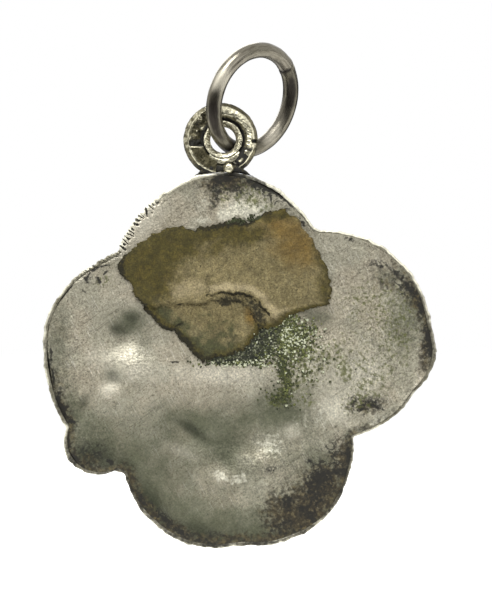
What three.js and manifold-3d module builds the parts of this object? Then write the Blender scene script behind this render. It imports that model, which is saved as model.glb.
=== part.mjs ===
// Four leaf clover charm: a hollow pressed front closed by a thin back plate, with a double ringed
// eye soldered on its top edge, a jump ring through the eye and a torn scrap of old backing.
// Sizes are in millimetres. The shapes are laid out as the back of the charm is looked at: x runs to
// the right, y runs up and z comes towards the eye of the person who looks. The last group turns that
// layout upright, so that the charm hangs along Z with its front facing -Y. The centre of the jump
// ring is the origin.
import * as THREE from 'three';
import { mergeVertices } from 'three/addons/utils/BufferGeometryUtils.js';
import Module from 'manifold-3d';

const wasm = await Module();
wasm.setup();

// Jump ring: a circle of round wire, closed with a butt join
const wireDiameter = 0.8;
const ringMeanDiameter = 5.25;
const ringLean = 68.2; // bearing of the ring's long axis as it lies, in degrees
const ringTilt = 45.4; // turn of the ring about that axis, out of the charm's plane
const ringCrossing = 160; // where along the wire the eye hangs, from the ring's top
const joinPlace = -30; // where along the wire its two ends meet
const joinGap = 0.05;

// Eye: a countersunk inner ring, set inside a wider outer ring
const runningClearance = 0.03;
const innerRingBand = 0.33;
const innerRingThickness = 0.5;
const innerRingEdge = 0.05; // how far its outer edges are filed off
const grooveWidth = 0.06;
const outerRingBand = 0.73;
const outerRingThickness = 0.72;
const outerRingOffset = 0.12; // the outer ring sits this far to the left of the bore
const eyeSetBack = 0.1; // the eye's middle lies this far in front of the bore's narrowest place
const lipWidth = 0.17;
const crownPower = 3; // roundness of the outer ring's section: 2 is an ellipse

// Heights of the outer ring's back, as drops below its full height along stretches of bearing.
// One wire end lies on the left as a step, and the other on the right as a nick.
const outerRingDrops = [
  { from: 96, to: 196, drop: 0.26 },
  { from: 302, to: 349, drop: 0.16 },
];
const stepLength = 5;

// Solder: the foot that holds the eye on the edge of the sheets, and a round bead beside it
const seatGap = 0.03;
const seatDepth = 0.23;
const footHalfLength = 1.9;
const footHeight = 0.42;
const footShoulder = 0.3; // share of its half length at which the foot starts to sink
const footWrap = 0.16; // how thick the foot lies over the front of the eye
const footBack = 0.3; // how high the foot stands over the middle of the eye at the back
const footTaper = 0.4; // share of its thickness that is left at both ends
const beadRadius = 0.27;
const beadHeight = 0.34;
const beadBearing = 286;
const beadShare = 0.46; // where the bead sits across the outer ring's band
const beadFoot = 0.25; // share of the bead's height at which it is widest

// Outline of the clover, as round lobes: how far out each centre lies, its bearing and its radius.
// Lengths in lobes, dents and torn outlines are in hundredths of the clover's width.
const cloverWidth = 20;
const lobes = [
  { out: 22.35, bearing: 99.8, radius: 23.49 },
  { out: 16.81, bearing: 105.7, radius: 28.08 },
  { out: 26.93, bearing: 177.3, radius: 23.19 },
  { out: 19.05, bearing: 188, radius: 30.53 },
  { out: 26.88, bearing: 257, radius: 23.84 },
  { out: 24.44, bearing: 278.6, radius: 25.19 },
  { out: 37.16, bearing: 0.7, radius: 12.77 },
  { out: 22.3, bearing: 10.4, radius: 26.73 },
];
const stemEnd = { out: 42.85, bearing: 212.3, radius: 8.58 };
const valleys = [54, 142, 212, 324]; // bearings of the creases between the leaves
const notchSoftness = 0.06;
const eyeBearing = 95.2; // where the eye stands on the outline

// Sheets
const sheetThickness = 0.25;
const rimWall = 0.2;
const rimHeight = 0.75;
const rimTurn = 0.1; // radius of the bends where the rim is turned back
const seamGap = 0.04;
const plateSink = 0.06; // how far the back plate lies below the rim
const domeHeight = 1.05;
const creaseDepth = 0.62; // share of the dome that the creases between leaves take away
const creaseWidth = 1.1;
const midribDepth = 0.2;
const midribWidth = 0.45;
const stemHeight = 0.75;
const stemWidth = 0.5;

// Dents that wear has pressed into the back plate
const dents = [
  { x: -28.7, y: 2.6, radius: 11.5, depth: 0.36 },
  { x: -33.5, y: -8.5, radius: 6, depth: 0.16 },
  { x: -8.5, y: -21, radius: 14.5, depth: 0.3 },
  { x: 7, y: -23.5, radius: 12, depth: 0.14 },
  { x: 21.5, y: 4, radius: 9, depth: 0.12 },
];

// Old backing: a torn scrap stuck down with a film of glue, both drawn from the clover's centre.
// A low round fold runs across the scrap.
const glueThickness = 0.06;
const scrapThickness = 0.2;
const layerGap = 0.03;
const foldHeight = 0.2;
const foldWidth = 0.22;
const scrapOutline = [
  [-31.5, 22.7], [-26.5, 27.3], [-19.5, 31], [-14, 31.2], [-4.2, 33], [2.2, 33],
  [8, 36], [11.5, 36], [15.5, 32.8], [19.5, 26.2], [22, 21.7], [23.6, 15.5],
  [22.5, 12], [14.3, 9.8], [9.5, 6], [4.8, 4.5], [2, 0.8], [-6, -2],
  [-9.5, -2.5], [-13.8, 1.2], [-17, 5], [-21.5, 7.5], [-27.7, 15.5],
];
const glueOutline = [
  [-21, 11], [-15, 24.5], [0, 27], [15, 25], [18, 14.5], [13.8, 7.8],
  [12.3, 4.8], [6.8, 1.5], [2.5, -1.5], [-6.5, -1], [-13, 3],
];
const foldLine = [[-19.5, 11.8], [-9.5, 13.8], [0, 14.5], [6.5, 12.3], [9.8, 8.8]];

// Fineness of the faceted shapes
const outlineSteps = 108;
const skinSteps = 8;
const skinReach = 0.985; // share of the outline at which the skin meets the bend of the rim
const liningSteps = 7;
const liningReach = 0.95;
const rowSpacing = 0.8; // below 1 the rows of a sheet lie closer together near its edge
const ringSteps = 56;
const boreReach = 40; // stretch of wire on both sides of the bore that its radius clears, in degrees
const boreStep = 0.5;
const wireSides = 12;
const footSteps = 22;
const footSides = 16;
const beadRows = 6;
const beadSides = 14;
const foldSteps = 18;
const foldSides = 10;

const degrees = Math.PI / 180;
const hundredth = cloverWidth / 100;
const silver = { roughness: 0.42, metalness: 1 };

// A grid of points, row by row, becomes one closed surface. Rows run round the shape, and a row of
// one point is a pole. The last row joins the first when the surface closes on itself like a tyre.
function closedSurface(rows, closesOnItself) {
  const positions = [];
  const starts = [];
  for (const row of rows) {
    starts.push(positions.length / 3);
    for (const point of row) positions.push(...point);
  }
  const triangles = [];
  const pairs = closesOnItself ? rows.length : rows.length - 1;
  for (let i = 0; i < pairs; i += 1) {
    const next = (i + 1) % rows.length;
    const count = Math.max(rows[i].length, rows[next].length);
    for (let j = 0; j < count; j += 1) {
      const k = (j + 1) % count;
      const a = starts[i] + (rows[i].length > 1 ? j : 0);
      const b = starts[i] + (rows[i].length > 1 ? k : 0);
      const c = starts[next] + (rows[next].length > 1 ? k : 0);
      const d = starts[next] + (rows[next].length > 1 ? j : 0);
      if (a !== b) triangles.push(a, b, c);
      if (c !== d) triangles.push(a, c, d);
    }
  }
  const geometry = new THREE.BufferGeometry();
  geometry.setAttribute('position', new THREE.Float32BufferAttribute(positions, 3));
  geometry.setIndex(triangles);
  return geometry;
}

function toSolid(geometry) {
  const plain = geometry.clone();
  plain.deleteAttribute('normal');
  plain.deleteAttribute('uv');
  const merged = mergeVertices(plain);
  return new wasm.Manifold(new wasm.Mesh({
    numProp: 3,
    vertProperties: new Float32Array(merged.attributes.position.array),
    triVerts: new Uint32Array(merged.index.array),
  }));
}

function toGeometry(solid) {
  const mesh = solid.getMesh();
  const geometry = new THREE.BufferGeometry();
  geometry.setAttribute('position', new THREE.BufferAttribute(mesh.vertProperties, 3));
  geometry.setIndex(new THREE.BufferAttribute(mesh.triVerts, 1));
  return geometry;
}

function piece(name, geometry, color, finish) {
  geometry.computeVertexNormals();
  const mesh = new THREE.Mesh(geometry, new THREE.MeshStandardMaterial({ color, ...finish }));
  mesh.name = name;
  return mesh;
}

const smoothStep = (low, high, value) => THREE.MathUtils.smoothstep(value, low, high);

// Jump ring: its centre line lies in a plane turned by the tilt about the leaning long axis
const wireRadius = wireDiameter / 2;
const ringRadius = ringMeanDiameter / 2;
const longAxis = new THREE.Vector3(Math.cos(ringLean * degrees), Math.sin(ringLean * degrees), 0);
const shortAxis = new THREE.Vector3(
  -Math.sin(ringLean * degrees) * Math.cos(ringTilt * degrees),
  Math.cos(ringLean * degrees) * Math.cos(ringTilt * degrees),
  Math.sin(ringTilt * degrees),
);

function wirePoint(place) {
  return new THREE.Vector3()
    .addScaledVector(longAxis, ringRadius * Math.cos(place * degrees))
    .addScaledVector(shortAxis, ringRadius * Math.sin(place * degrees));
}

class WireLine extends THREE.Curve {
  getPoint(t, target = new THREE.Vector3()) {
    const cut = joinGap / ringRadius / degrees;
    return target.copy(wirePoint(joinPlace + cut / 2 + t * (360 - cut)));
  }
}

function jumpRing() {
  const section = new THREE.Shape();
  section.absarc(0, 0, wireRadius, 0, 2 * Math.PI);
  return new THREE.ExtrudeGeometry(section, {
    steps: ringSteps,
    curveSegments: wireSides / 2,
    extrudePath: new WireLine(),
  });
}

// Bore of the eye: the wire crosses it aslant, so at each height the bore clears the farthest that
// any round slice of the wire reaches from the bore's axis
const bore = wirePoint(ringCrossing);

function boreRadius(height) {
  let reach = wireRadius;
  for (let aside = -boreReach; aside <= boreReach; aside += boreStep) {
    const point = wirePoint(ringCrossing + aside).sub(bore);
    const rise = height - point.z;
    if (Math.abs(rise) < wireRadius) {
      reach = Math.max(reach, Math.hypot(point.x, point.y) + Math.sqrt(wireRadius ** 2 - rise ** 2));
    }
  }
  return reach + runningClearance;
}

const innerRingRadius = boreRadius(0) + innerRingBand;
const outerRingInside = innerRingRadius + grooveWidth + outerRingOffset;
const eyeRadius = outerRingInside + outerRingBand;
const eyeCentre = new THREE.Vector3(bore.x - outerRingOffset, bore.y, bore.z - eyeSetBack);

function innerRing() {
  const back = innerRingThickness / 2 - eyeSetBack;
  const front = -innerRingThickness / 2 - eyeSetBack;
  const profile = [
    [boreRadius(0), 0],
    [boreRadius(front / 2), front / 2],
    [boreRadius(front), front],
    [innerRingRadius - innerRingEdge, front],
    [innerRingRadius, front + innerRingEdge],
    [innerRingRadius, back - innerRingEdge],
    [innerRingRadius - innerRingEdge, back],
    [boreRadius(back), back],
    [boreRadius(back / 2), back / 2],
    [boreRadius(0), 0],
  ];
  const geometry = new THREE.LatheGeometry(profile.map(([x, y]) => new THREE.Vector2(x, y)), ringSteps);
  return geometry.rotateX(Math.PI / 2).translate(bore.x, bore.y, bore.z);
}

// Drop of the outer ring's back at a bearing: full inside a stretch, with a short step at its ends
function outerRingDrop(bearing) {
  let drop = 0;
  for (const stretch of outerRingDrops) {
    const rise = smoothStep(stretch.from - stepLength / 2, stretch.from + stepLength / 2, bearing);
    const fall = smoothStep(stretch.to - stepLength / 2, stretch.to + stepLength / 2, bearing);
    drop += stretch.drop * (rise - fall);
  }
  return drop;
}

// Half thickness of the outer ring at a share across its band, from -1 inside to 1 outside
function crown(across) {
  return outerRingThickness / 2 * (1 - Math.abs(across) ** crownPower) ** (1 / crownPower);
}

// Height of its back over its middle: a rounded band, dished inside its outer lip where it drops
function outerRingBack(across, bearing) {
  const lipStart = 1 - 2 * lipWidth / outerRingBand;
  const dish = 1 - smoothStep(lipStart - lipWidth, lipStart + lipWidth / 2, across);
  return Math.max(crown(across) - outerRingDrop(bearing) * dish, -crown(across) / 2);
}

function outerRing() {
  const across = [-1, -0.9, -0.6, -0.2, 0.2, 0.5, 0.7, 0.92, 1];
  const rows = [];
  for (let i = 0; i < ringSteps; i += 1) {
    const bearing = 360 * i / ringSteps;
    const place = (share, height) => {
      const radius = outerRingInside + outerRingBand * (1 + share) / 2;
      const x = eyeCentre.x + radius * Math.cos(bearing * degrees);
      const y = eyeCentre.y + radius * Math.sin(bearing * degrees);
      return [x, y, eyeCentre.z + height];
    };
    const row = across.map((share) => place(share, outerRingBack(share, bearing)));
    for (const share of [0.85, 0.45, 0, -0.45, -0.85]) {
      row.push(place(share, -crown(share)));
    }
    rows.push(row);
  }
  return closedSurface(rows, true);
}

// Outline of the clover: the farthest lobe at each bearing, with the notches between them softened
function reachOf(lobe, bearing) {
  const turn = (bearing - lobe.bearing) * degrees;
  const inside = lobe.radius ** 2 - (lobe.out * Math.sin(turn)) ** 2;
  return inside > 0 ? (lobe.out * Math.cos(turn) + Math.sqrt(inside)) * hundredth : 0;
}

function outlineRadius(bearing) {
  let sum = 0;
  for (const lobe of [...lobes, stemEnd]) sum += Math.exp(reachOf(lobe, bearing) / notchSoftness);
  return notchSoftness * Math.log(sum);
}

const eyeDistance = outlineRadius(eyeBearing) + eyeRadius - seatDepth;
const cloverCentre = new THREE.Vector3(
  eyeCentre.x - eyeDistance * Math.cos(eyeBearing * degrees),
  eyeCentre.y - eyeDistance * Math.sin(eyeBearing * degrees),
  eyeCentre.z,
);
const rimBack = rimHeight / 2;
const plateBack = rimBack - plateSink;

function outlineBlock(grown, low, high) {
  const shape = new THREE.Shape();
  for (let i = 0; i < outlineSteps; i += 1) {
    const bearing = 360 * i / outlineSteps;
    const radius = outlineRadius(bearing) + grown;
    const x = cloverCentre.x + radius * Math.cos(bearing * degrees);
    const y = cloverCentre.y + radius * Math.sin(bearing * degrees);
    if (i === 0) shape.moveTo(x, y);
    else shape.lineTo(x, y);
  }
  const block = new THREE.ExtrudeGeometry(shape, { depth: high - low, bevelEnabled: false });
  return block.translate(0, 0, low);
}

// The outer ring is filed at its foot to the outline of the sheets, where it stands on their edge
function seatedOuterRing() {
  const seat = outlineBlock(seatGap, cloverCentre.z - rimHeight, cloverCentre.z + rimHeight);
  return toGeometry(toSolid(outerRing()).subtract(toSolid(seat)));
}

// The foot of solder fills the two corners between the eye and the edge, and joins across the front.
// It is a flattened tube laid along the edge, which sinks to nothing at both ends.
function footMound() {
  const halfAngle = footHalfLength / outlineRadius(eyeBearing) / degrees;
  const front = outerRingThickness / 2 + seatGap + footWrap;
  const rows = [];
  for (let i = 0; i <= footSteps; i += 1) {
    const share = 2 * i / footSteps - 1;
    const bearing = eyeBearing - share * halfAngle;
    const full = 1 - smoothStep(footShoulder, 1, Math.abs(share));
    const place = (rise, depth) => {
      const radius = outlineRadius(bearing) + rise;
      const x = cloverCentre.x + radius * Math.cos(bearing * degrees);
      const y = cloverCentre.y + radius * Math.sin(bearing * degrees);
      return [x, y, cloverCentre.z + depth];
    };
    const row = full > 0 ? [] : [place(0, 0)];
    for (let j = 0; j < footSides && full > 0; j += 1) {
      const turn = 2 * Math.PI * j / footSides;
      const thickness = (Math.sin(turn) > 0 ? footBack : front) * (footTaper + (1 - footTaper) * full);
      row.push(place(full * footHeight * Math.cos(turn), thickness * Math.sin(turn)));
    }
    rows.push(row);
  }
  return closedSurface(rows, false);
}

function solderFoot() {
  const front = eyeCentre.z - outerRingThickness / 2 - seatGap;
  const room = 2 * outerRingThickness;
  const eye = new THREE.CylinderGeometry(eyeRadius + seatGap, eyeRadius + seatGap, room, ringSteps);
  eye.rotateX(Math.PI / 2).translate(eyeCentre.x, eyeCentre.y, front + room / 2);
  const sheets = outlineBlock(seatGap, cloverCentre.z - rimHeight, cloverCentre.z + rimHeight);
  return toGeometry(toSolid(footMound()).subtract(toSolid(eye).add(toSolid(sheets))));
}

function solderBead() {
  const radius = outerRingInside + outerRingBand * beadShare;
  const profile = [new THREE.Vector2(0, 0), new THREE.Vector2(beadRadius * (1 - beadFoot), 0)];
  for (let i = 0; i <= beadRows; i += 1) {
    const turn = Math.PI / 2 * i / beadRows;
    const high = beadHeight * (beadFoot + (1 - beadFoot) * Math.sin(turn));
    profile.push(new THREE.Vector2(i === beadRows ? 0 : beadRadius * Math.cos(turn), high));
  }
  const bead = new THREE.LatheGeometry(profile, beadSides).rotateX(Math.PI / 2);
  return bead.translate(
    eyeCentre.x + radius * Math.cos(beadBearing * degrees),
    eyeCentre.y + radius * Math.sin(beadBearing * degrees),
    eyeCentre.z + outerRingThickness / 2 + seatGap,
  );
}

// Relief of the pressed front: each leaf is a dome between two creases, with a groove down its
// middle, and the stem is a rounded ridge that runs out to its own end
function frontRelief(share, bearing) {
  const radius = share * outlineRadius(bearing);
  const aside = (line) => {
    const turn = (bearing - line) * degrees;
    return Math.cos(turn) > 0 ? Math.abs(radius * Math.sin(turn)) : radius;
  };
  let crease = 0;
  let groove = 0;
  for (let i = 0; i < valleys.length; i += 1) {
    const next = valleys[(i + 1) % valleys.length] + (i + 1 === valleys.length ? 360 : 0);
    crease = Math.max(crease, Math.exp(-((aside(valleys[i]) / creaseWidth) ** 2)));
    groove = Math.max(groove, Math.exp(-((aside((valleys[i] + next) / 2) / midribWidth) ** 2)));
  }
  const fall = Math.sqrt(Math.max(0, 1 - share ** 3));
  const leaf = domeHeight * (1 - creaseDepth * crease) - midribDepth * groove * (1 - crease);
  const ridge = stemHeight * Math.exp(-((aside(stemEnd.bearing) / stemWidth) ** 2));
  return Math.max(leaf, ridge) * fall;
}

function sheetRow(point) {
  const row = [];
  for (let i = 0; i < outlineSteps; i += 1) {
    const bearing = 360 * i / outlineSteps;
    const [radius, height] = point(bearing);
    const x = cloverCentre.x + radius * Math.cos(bearing * degrees);
    const y = cloverCentre.y + radius * Math.sin(bearing * degrees);
    row.push([x, y, cloverCentre.z + height]);
  }
  return row;
}

function poleRow(height) {
  return [[cloverCentre.x, cloverCentre.y, cloverCentre.z + height]];
}

// The pressed front: outer skin, rim wall turned back round the plate, and lining one sheet behind
function frontShell() {
  const rimFront = -rimHeight / 2;
  const rows = [poleRow(rimFront - frontRelief(0, 0))];
  for (let i = 1; i <= skinSteps; i += 1) {
    const share = (i / skinSteps) ** rowSpacing * skinReach;
    const skin = (bearing) => [share * outlineRadius(bearing), rimFront - frontRelief(share, bearing)];
    rows.push(sheetRow(skin));
  }
  const liningFront = rimFront + sheetThickness;
  rows.push(sheetRow((bearing) => [outlineRadius(bearing), rimFront + rimTurn]));
  rows.push(sheetRow((bearing) => [outlineRadius(bearing), rimBack - rimTurn / 2]));
  rows.push(sheetRow((bearing) => [outlineRadius(bearing) - rimTurn / 2, rimBack]));
  rows.push(sheetRow((bearing) => [outlineRadius(bearing) - rimWall, rimBack]));
  rows.push(sheetRow((bearing) => [outlineRadius(bearing) - rimWall, liningFront + rimTurn]));
  for (let i = liningSteps; i >= 1; i -= 1) {
    const share = (i / liningSteps) ** rowSpacing * liningReach;
    const lining = (bearing) => {
      const radius = share * (outlineRadius(bearing) - rimWall);
      const relief = frontRelief(radius / outlineRadius(bearing), bearing);
      return [radius, liningFront - relief];
    };
    rows.push(sheetRow(lining));
  }
  rows.push(poleRow(liningFront - frontRelief(0, 0)));
  return closedSurface(rows, false);
}

// Depth of the back plate below its flat face, which stays flat outside the dents
function dentDepth(radius, bearing) {
  const x = radius * Math.cos(bearing * degrees);
  const y = radius * Math.sin(bearing * degrees);
  let depth = 0;
  for (const dent of dents) {
    const away = Math.hypot(x - dent.x * hundredth, y - dent.y * hundredth);
    const share = away / (dent.radius * hundredth);
    depth += dent.depth * Math.max(0, 1 - share ** 2) ** 2;
  }
  return depth;
}

function backPlate() {
  const edge = (bearing) => outlineRadius(bearing) - rimWall - seamGap;
  const face = (share, height) => sheetRow((bearing) => {
    const radius = share * edge(bearing);
    return [radius, height - dentDepth(radius, bearing)];
  });
  const rows = [poleRow(plateBack - sheetThickness - dentDepth(0, 0))];
  for (let i = 1; i <= skinSteps; i += 1) rows.push(face(i / skinSteps, plateBack - sheetThickness));
  for (let i = skinSteps; i >= 1; i -= 1) rows.push(face(i / skinSteps, plateBack));
  rows.push(poleRow(plateBack - dentDepth(0, 0)));
  return closedSurface(rows, false);
}

// Sheets of soft stuff: a torn outline with straight tears between its corners, laid at a height
function tornSheet(outline, low, thickness) {
  const shape = new THREE.Shape(outline.map(([x, y]) => new THREE.Vector2(x * hundredth, y * hundredth)));
  const sheet = new THREE.ExtrudeGeometry(shape, { depth: thickness, bevelEnabled: false });
  return sheet.translate(cloverCentre.x, cloverCentre.y, cloverCentre.z + low);
}

const glueLow = plateBack + layerGap;
const scrapLow = glueLow + glueThickness + layerGap;

// The scrap has one raised fold across it, a low round ridge that follows the fold line
function backingScrap() {
  const sheet = tornSheet(scrapOutline, scrapLow, scrapThickness);
  const height = cloverCentre.z + scrapLow + scrapThickness;
  const line = new THREE.CatmullRomCurve3(foldLine.map(([x, y]) => (
    new THREE.Vector3(cloverCentre.x + x * hundredth, cloverCentre.y + y * hundredth, height)
  )));
  const section = new THREE.Shape();
  section.absellipse(0, 0, foldHeight, foldWidth, 0, 2 * Math.PI);
  const fold = new THREE.ExtrudeGeometry(section, {
    steps: foldSteps,
    curveSegments: foldSides,
    extrudePath: line,
  });
  const room = new THREE.BoxGeometry(cloverWidth, cloverWidth, 2 * foldHeight);
  room.translate(cloverCentre.x, cloverCentre.y, height - scrapThickness / 2 + foldHeight);
  return toGeometry(toSolid(sheet).add(toSolid(fold).intersect(toSolid(room))));
}

const charm = new THREE.Group();
charm.add(
  piece('front_shell', frontShell(), 0xa7a49c, silver),
  piece('back_plate', backPlate(), 0x9b988f, silver),
  piece('eye_outer_ring', seatedOuterRing(), 0xa9a592, silver),
  piece('eye_inner_ring', innerRing(), 0xb5b1a0, silver),
  piece('solder_foot', solderFoot(), 0x5c584c, { roughness: 0.6, metalness: 1 }),
  piece('solder_bead', solderBead(), 0xc9c6b4, { roughness: 0.3, metalness: 1 }),
  piece('old_glue', tornSheet(glueOutline, glueLow, glueThickness), 0x2f3324, { roughness: 0.9 }),
  piece('backing_scrap', backingScrap(), 0x857659, { roughness: 0.95 }),
);

// Turned upright: right becomes -X, up becomes +Z and the back faces +Y
const upright = new THREE.Group();
upright.quaternion.setFromRotationMatrix(new THREE.Matrix4().makeBasis(
  new THREE.Vector3(-1, 0, 0),
  new THREE.Vector3(0, 0, 1),
  new THREE.Vector3(0, 1, 0),
));
upright.add(piece('jump_ring', jumpRing(), 0xa29d93, silver), charm);

export default upright;
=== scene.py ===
import math

import bpy
import numpy as np
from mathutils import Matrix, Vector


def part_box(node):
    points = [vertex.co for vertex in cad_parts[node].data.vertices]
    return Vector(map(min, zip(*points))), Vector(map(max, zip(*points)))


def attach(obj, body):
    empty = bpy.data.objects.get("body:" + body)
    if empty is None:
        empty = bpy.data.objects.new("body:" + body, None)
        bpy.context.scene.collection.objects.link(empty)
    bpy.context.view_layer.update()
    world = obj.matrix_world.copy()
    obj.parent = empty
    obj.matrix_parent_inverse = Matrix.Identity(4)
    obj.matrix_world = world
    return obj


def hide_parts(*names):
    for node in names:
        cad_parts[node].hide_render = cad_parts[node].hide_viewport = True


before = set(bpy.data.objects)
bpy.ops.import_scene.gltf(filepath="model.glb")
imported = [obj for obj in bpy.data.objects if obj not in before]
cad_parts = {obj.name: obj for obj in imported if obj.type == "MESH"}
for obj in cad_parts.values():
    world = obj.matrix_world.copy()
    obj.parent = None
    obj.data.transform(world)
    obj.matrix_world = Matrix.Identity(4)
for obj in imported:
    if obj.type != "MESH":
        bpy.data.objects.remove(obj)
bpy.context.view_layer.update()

# Four leaf clover charm, shown on its dented back. Places are worked out in millimetres as the back
# is looked at: x to the right, y up, z towards the person who looks.
mm = 0.001
degree = math.pi / 180
turn = 2 * math.pi


def toFrame(points):
    # right is -X in the frame, up is +Z and the back faces +Y
    return np.stack([-points[..., 0], points[..., 2], points[..., 1]], -1) * mm


def boxOf(node):
    low, high = (np.array(corner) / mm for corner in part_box(node))
    return np.array([-high[0], low[2], low[1]]), np.array([-low[0], high[2], high[1]])


def fromHex(code):
    # an sRGB hex value as linear light: (c + 0.055) / 1.055 to the power 2.4, or c / 12.92 if dark
    parts = [int(code[i:i + 2], 16) / 255 for i in (1, 3, 5)]
    linear = [((c + 0.055) / 1.055) ** 2.4 if c > 0.04045 else c / 12.92 for c in parts]
    return (*linear, 1.0)


def ramp(low, high, value):
    # smooth step 3t^2 - 2t^3 from 0 at low to 1 at high
    t = np.clip((value - low) / (high - low), 0, 1)
    return t * t * (3 - 2 * t)


def hump(apart, half, power=2):
    # 1 in the middle and less on both sides: exp(-(apart / half)^power)
    return np.exp(-(apart / half) ** power)


def apartFrom(angle, middle):
    # degrees between two bearings, the short way round
    return np.abs((angle - middle + 180) % 360 - 180)


def flat(radius, bearing):
    # a radius and a bearing as x and y
    return radius * np.cos(bearing), radius * np.sin(bearing)


def setAbout(middle, x, y, height):
    # points given from a middle, as places in the whole object
    return np.stack([middle[0] + x, middle[1] + y, middle[2] + height], -1)


latticeSide = 67  # the noise repeats after so many steps


def softNoise(x, y, size, seed):
    # random numbers from -1 to 1 stand on a lattice of that size, and a point takes the smooth
    # mix of the four round it
    lattice = np.random.default_rng(seed).uniform(-1, 1, (latticeSide, latticeSide))
    i, j = np.floor(x / size).astype(int), np.floor(y / size).astype(int)
    f, g = ramp(0, 1, x / size - i), ramp(0, 1, y / size - j)
    a, b = i % latticeSide, j % latticeSide
    c, d = (i + 1) % latticeSide, (j + 1) % latticeSide
    low = lattice[a, b] * (1 - f) + lattice[c, b] * f
    high = lattice[a, d] * (1 - f) + lattice[c, d] * f
    return low * (1 - g) + high * g


def roughness(x, y, size, seed, layers=3):
    # soft noise of that size, plus half as much of half the size, and so on
    return sum(softNoise(x, y, size / 2 ** k, seed + k) / 2 ** k for k in range(layers))


def lineNoise(place, size, seed, row=0, layers=1):
    # the same noise along one row of the lattice, for what changes along an edge only
    return roughness(place, 0 * place + row, size, seed, layers)


def spots(x, y, rows):
    # each row is x, y, half length, half width, turn and amount of one soft spot. Together they
    # cover 1 - the product of (1 - amount * exp(-distance^2)), so they never pass 1
    bare = np.ones_like(x)
    for cx, cy, length, width, slant, amount in rows:
        c, s = math.cos(slant * degree), math.sin(slant * degree)
        u, v = ((x - cx) * c + (y - cy) * s) / length, ((y - cy) * c - (x - cx) * s) / width
        bare = bare * (1 - amount * np.exp(-u * u - v * v))
    return 1 - bare


def depths(x, y, rows):
    # the same soft spots, added up as depths in millimetres
    return sum(spots(x, y, [(*row[:5], 1.0)]) * row[5] for row in rows)


def fromLine(x, y, line):
    # distance from a bent line, by the nearest point of each straight stretch: positive on the
    # left of the line as it runs
    nearest = np.full(np.shape(x), 1e9)
    for (x0, y0), (x1, y1) in zip(line[:-1], line[1:]):
        dx, dy = x1 - x0, y1 - y0
        t = np.clip(((x - x0) * dx + (y - y0) * dy) / (dx * dx + dy * dy), 0, 1)
        ex, ey = x - x0 - t * dx, y - y0 - t * dy
        apart = np.hypot(ex, ey)
        signed = np.where(dx * ey - dy * ex < 0, -apart, apart)
        nearest = np.where(apart < np.abs(nearest), signed, nearest)
    return nearest


def addObject(name, data):
    made = bpy.data.objects.new(name, data)
    bpy.context.scene.collection.objects.link(made)
    return made


def makePiece(name, grid, layers=None, loop=False):
    # grid is rows by columns of points. The columns close on themselves. The first and last row
    # shrink to a pole each, or join each other if loop is true. Layers are numbers on the points
    rows, columns = grid.shape[:2]
    j = np.arange(columns)
    k = (j + 1) % columns
    layers = layers or {}
    if loop:
        i = np.arange(rows)[:, None] * columns
        n = (i + columns) % (rows * columns)
        points = grid.reshape(-1, 3)
        faces = np.stack([i + j, i + k, n + k, n + j], -1).reshape(-1, 4).tolist()
        onPoints = {key: value.reshape(rows * columns, -1) for key, value in layers.items()}
    else:
        i = np.arange(rows - 3)[:, None] * columns + 1
        n = i + columns
        last = (rows - 2) * columns + 1
        faces = np.stack([i + j, i + k, n + k, n + j], -1).reshape(-1, 4).tolist()
        faces += np.stack([0 * j, k + 1, j + 1], -1).tolist()
        faces += np.stack([last - columns + j, last - columns + k, 0 * j + last], -1).tolist()

        def withPoles(values):
            inner = values[1:-1].reshape((rows - 2) * columns, -1)
            ends = values.reshape(rows, columns, -1)[[0, -1]].mean(1)
            return np.concatenate([ends[:1], inner, ends[1:]])
        points = withPoles(grid)
        onPoints = {key: withPoles(value) for key, value in layers.items()}
    corners = toFrame(points)
    fan = np.array([face[:3] for face in faces] + [[f[0], f[2], f[3]] for f in faces if len(f) == 4])
    a, b, c = corners[fan[:, 0]], corners[fan[:, 1]], corners[fan[:, 2]]
    if (a * np.cross(b, c)).sum() < 0:  # the volume inside says which way the faces point
        faces = [face[::-1] for face in faces]
    mesh = bpy.data.meshes.new(name)
    mesh.from_pydata(corners.tolist(), [], faces)
    mesh.polygons.foreach_set("use_smooth", np.ones(len(mesh.polygons), bool))
    for key, value in onPoints.items():
        kind = "FLOAT_VECTOR" if value.shape[1] == 3 else "FLOAT"
        field = "vector" if value.shape[1] == 3 else "value"
        mesh.attributes.new(key, kind, "POINT").data.foreach_set(field, value.astype(np.float32).ravel())
    return addObject(name, mesh)


def dress(piece, material, slot, body, *nodes):
    piece.data.materials.append(material)
    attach(piece, body)
    if nodes:
        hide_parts(*nodes)
    print("made", piece.name, len(piece.data.polygons), "faces")


def addNode(tree, kind, settings=None, inputs=None):
    # one node with its settings, and its inputs as numbers, colours or the sockets they come from
    node = tree.nodes.new(kind)
    for key, value in (settings or {}).items():
        setattr(node, key, value)
    for key, value in (inputs or {}).items():
        if isinstance(value, bpy.types.NodeSocket):
            tree.links.new(value, node.inputs[key])
        else:
            node.inputs[key].default_value = value
    return node


def emptyTree(block):
    # the node tree of a material or world, with nothing in it
    block.use_nodes = True
    block.node_tree.nodes.clear()
    return block.node_tree


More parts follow.
